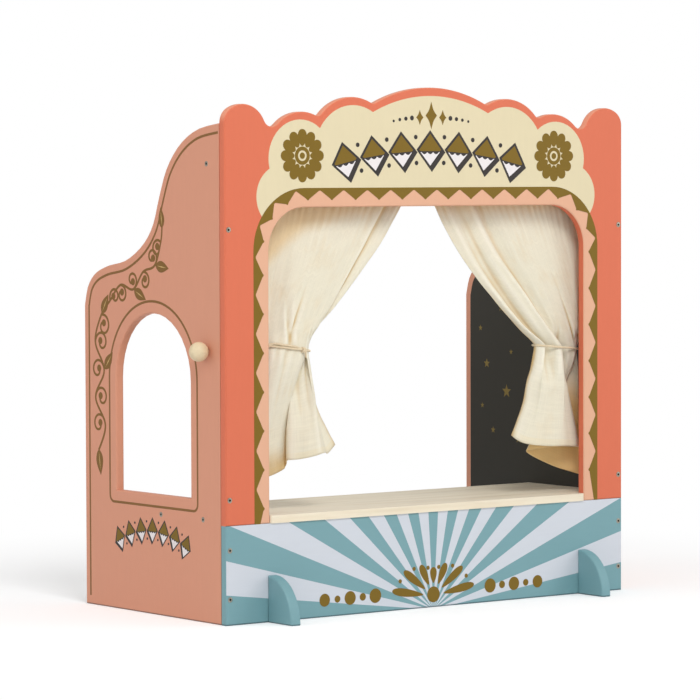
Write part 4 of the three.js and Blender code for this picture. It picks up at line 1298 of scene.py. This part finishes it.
def curtain(spec):
    """The cloth with its weave coordinates, its painted shade, hem and thickness."""
    word, side = spec["word"], spec["side"]
    grid = [column(spec, c / COLUMNS) for c in range(COLUMNS + 1)]
    verts, uvs, shades, rear_shades = [], [], [], []
    for c, points in enumerate(grid):
        u = c / COLUMNS
        for r, (x, y, z) in enumerate(points):
            # Painted shade on the back layers and under the board's head
            back = smooth((u - spec["rear"]) / 0.03) * smooth((spec["tie_z"] - 30 - z) / 60)
            shades.append(shade_of(spec, grid, c, r))
            rear_shades.append(max(0.9 * back, spec["shadow_depth"] * under_head(spec, x, z)))
            verts.append(crumpled(spec, u, r / ROWS, (x, y, z)))
            uvs.append((u * CLOTH_WIDE * MM, r / ROWS * CLOTH_LONG * MM))
    faces = []
    for c in range(COLUMNS):
        for r in range(ROWS):
            a = c * (ROWS + 1) + r
            b = a + ROWS + 1
            faces.append((a, b, b + 1, a + 1) if side > 0 else (a, a + 1, b + 1, b))
    mesh = bpy.data.meshes.new(f"{word}_curtain_cloth")
    mesh.from_pydata(verts, [], faces)
    layer = mesh.uv_layers.new(name="Weave")
    for loop in mesh.loops:
        layer.data[loop.index].uv = uvs[loop.vertex_index]
    for label, values in (("Shade", shades), ("RearShade", rear_shades)):
        mesh.attributes.new(label, "FLOAT", "POINT").data.foreach_set("value", values)
    mesh.materials.append(MATS["cotton"])
    mesh.materials.append(MATS["hem"])
    hem_row = ROWS - int(ROWS * HEM_LONG / CLOTH_LONG)
    for face in mesh.polygons:
        face.material_index = int(face.index % ROWS >= hem_row)
    mesh.shade_smooth()
    obj = new_object(mesh.name, mesh)
    group = obj.vertex_groups.new(name="hem")
    for i in range(len(verts)):
        group.add([i], 1.0 if i % (ROWS + 1) >= hem_row else 0.5, "REPLACE")
    solid = obj.modifiers.new("thick", "SOLIDIFY")
    solid.thickness = CLOTH_THICK * MM
    solid.offset = 0
    solid.vertex_group = "hem"
    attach(obj, f"{word}_curtain_set")
    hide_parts(f"{word}_curtain")


curtain(LEFT)
curtain(RIGHT)


# Tie cords: the straight run of the lead as distances out, the radii of the cord and the knot's
LEAD_X = (BALL_X - BALL_R + BALL_BORE - 0.6, 336.0, 330.0, 318.0, 304.0, 290.5, 286.5)
CORD_R, KNOT_R = 1.5, 1.2


def cord_points(spec):
    """The route of a tie cord: out of the ball through the board to the knot, and round the cloth.

    The left lead crosses the front just over the loop. The right knot lies behind the cloth.
    """
    side = spec["side"]
    middle, half = loop_of(spec)
    knot = 121 if side < 0 else 35

    def loop_point(degrees, lift):
        a = math.radians(degrees)
        x = middle + (half + TIE_ROOM + CORD_OUT) * math.cos(a)
        y = ROD_Y + side * (TIE_HALF_DEPTH + CORD_OUT) * math.sin(a)
        return side * x, y, spec["tie_z"] + spec["tilt"] * math.cos(a) + lift

    lead = [(side * x, ROD_Y, TIE_Z) for x in LEAD_X]
    if side < 0:
        lead += [loop_point(degrees, 3.0) for degrees in (49.6, 73.4, 97.2)]
    return lead, [loop_point(knot + 15 * i, 0.0) for i in range(25)]


def spaced(path, spacing):
    """Points of a path at that distance from each other."""
    even = [path[0]]
    travelled = 0.0
    for a, b in zip(path, path[1:]):
        length = (b - a).length
        while travelled + length >= spacing:
            a = a.lerp(b, (spacing - travelled) / length)
            even.append(a.copy())
            length = (b - a).length
            travelled = 0.0
        travelled += length
    return even


def rope(name, points, radius, body, pitch, spacing):
    """A three-strand twisted cord along a smooth path."""
    even = spaced([Vector(p) for p in catmull(points, 10)], spacing)
    frames, n = [], Vector((0.1, 0.2, 1)).normalized()
    for i, p in enumerate(even):
        t = (even[min(i + 1, len(even) - 1)] - even[max(i - 1, 0)]).normalized()
        n = (n - t * n.dot(t)).normalized()
        frames.append((p, n, t.cross(n)))
    verts, faces = [], []
    sides, strands = 8, 3
    strand_r = radius * 0.56
    for s in range(strands):
        start = len(verts)
        for i, (p, n, b) in enumerate(frames):
            a = 2 * math.pi * (s / strands + i * spacing / pitch)
            centre = p + (n * math.cos(a) + b * math.sin(a)) * (radius - strand_r)
            for k in range(sides):
                a = 2 * math.pi * k / sides
                verts.append(mm(*(centre + (n * math.cos(a) + b * math.sin(a)) * strand_r)))
        for i in range(len(frames) - 1):
            quads(faces, start + i * sides, start + (i + 1) * sides, sides)
        faces.append(tuple(range(start + sides - 1, start - 1, -1)))
        faces.append(tuple(range(len(verts) - sides, len(verts))))
    return add_mesh(name, verts, faces, ["cord"], body, True)


for spec in (LEFT, RIGHT):
    word = spec["word"]
    body = f"{word}_curtain_set"
    lead, loop = cord_points(spec)
    cord = rope(f"{word}_tie_cord_twisted", lead + loop, CORD_R, body, 7.0, 0.8)
    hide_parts(f"{word}_tie_cord")
    # The knot: three turns round the cord, and a short end that hangs
    knot = Vector(loop[0])
    run = (Vector(loop[1]) - knot).normalized()
    out = Vector((0, spec["side"], 0))
    out = (out - run * out.dot(run)).normalized()
    up = run.cross(out)
    turns = []
    for i in range(30):
        a = 2 * math.pi * i / 10
        place = knot + run * ((i - 15) * 0.17)
        turns.append(place + out * (0.3 + 2.2 * math.cos(a)) + up * (2.6 * math.sin(a)))
    end = [knot + run * 2.9 + out * 2.6 + Vector((0, 0, -q)) for q in (1.5, 5.0, 10.0)]
    rope(f"{word}_tie_knot", [tuple(p) for p in turns + end], KNOT_R, body, 6.0, 0.7)


# Floor and world: what the camera sees is lighter than what they throw on the piece
FLOOR_GLOW, FLOOR_NEAR, FLOOR_FAR = 0.24, 0.55, 1.1
FLOOR_HALF = 14.0
SOFT_LIGHT = 0.55


def floor_material():
    """A pale floor that turns white further out."""
    t = material("studio_floor")
    t.principled(Base_Color=FLOOR_TONE, Roughness=0.9, Specular_IOR_Level=0.1)
    rays = t.node("ShaderNodeLightPath").outputs
    seen = t.math("MAXIMUM", rays["Is Camera Ray"], rays["Is Glossy Ray"])
    seen = t.math("MAXIMUM", seen, rays["Is Transmission Ray"])
    glow = t.fed("ShaderNodeEmission", {"Strength": t.times(seen, FLOOR_GLOW)}).outputs[0]
    lit = t.fed("ShaderNodeAddShader", {0: t.bsdf.outputs[0], 1: glow}).outputs[0]
    white = t.fed("ShaderNodeEmission", {"Strength": 1.0}).outputs[0]
    x, y, _ = t.axes(t.coords())
    reach = {"Value": t.length(x, y), "From Min": FLOOR_NEAR, "From Max": FLOOR_FAR}
    far = t.fed("ShaderNodeMapRange", reach, interpolation_type="SMOOTHSTEP").outputs[0]
    t.feed(t.out.inputs["Surface"], t.mix_shader(t.times(far, seen), lit, white))
    return t.owner


floor_mesh = bpy.data.meshes.new("studio_floor")
r = FLOOR_HALF
floor_mesh.from_pydata([(-r, -r, 0), (r, -r, 0), (r, r, 0), (-r, r, 0)], [], [(0, 1, 2, 3)])
floor_mesh.materials.append(floor_material())
floor = new_object("studio_floor", floor_mesh)

world = bpy.data.worlds.new("studio")
bpy.context.scene.world = world
t = Tree(world)
t.nodes.clear()
rays = t.node("ShaderNodeLightPath").outputs
seen = t.math("MAXIMUM", rays["Is Camera Ray"], rays["Is Transmission Ray"])
soft = t.fed("ShaderNodeBackground", {"Color": WHITE, "Strength": SOFT_LIGHT}).outputs[0]
bright = t.fed("ShaderNodeBackground", {"Color": WHITE, "Strength": 1.0}).outputs[0]
out = t.node("ShaderNodeOutputWorld")
t.feed(out.inputs["Surface"], t.mix_shader(seen, soft, bright))


def area(name, place, size, power):
    """A square light that looks at the middle of the stand."""
    data = bpy.data.lights.new(name, "AREA")
    data.shape = "SQUARE"
    data.size = size
    data.energy = power
    obj = new_object(name, data)
    obj.location = place
    obj.rotation_mode = "QUATERNION"
    obj.rotation_quaternion = (Vector((0, 0, 0.3)) - Vector(place)).to_track_quat("-Z", "Y")


area("key", (-1.1, -2.6, 2.9), 1.3, 62)
area("fill", (2.6, -2.4, 1.4), 2.0, 22)
area("side", (-3.0, 0.6, 1.6), 2.0, 16)

# The camera as fitted to the photo: its place in metres, direction, roll in degrees and lens in mm
CAMERA_PLACE = (-2.97587, -3.90302, 0.56263)
CAMERA_LOOK = (0.60165, 0.79740, -0.04663)
CAMERA_ROLL = -0.181
CAMERA_LENS = 188.77
camera_data = bpy.data.cameras.new("camera")
camera_data.sensor_width = 36.0
camera_data.lens = CAMERA_LENS
camera_data.clip_start = 0.1
camera_data.clip_end = 60
camera = new_object("camera", camera_data)
camera.location = CAMERA_PLACE
turn = Vector(CAMERA_LOOK).to_track_quat("-Z", "Y").to_matrix().to_4x4()
turn = turn @ Matrix.Rotation(math.radians(CAMERA_ROLL), 4, "Z")
camera.rotation_mode = "QUATERNION"
camera.rotation_quaternion = turn.to_quaternion()
bpy.context.scene.camera = camera
bpy.context.scene.view_settings.view_transform = "Standard"
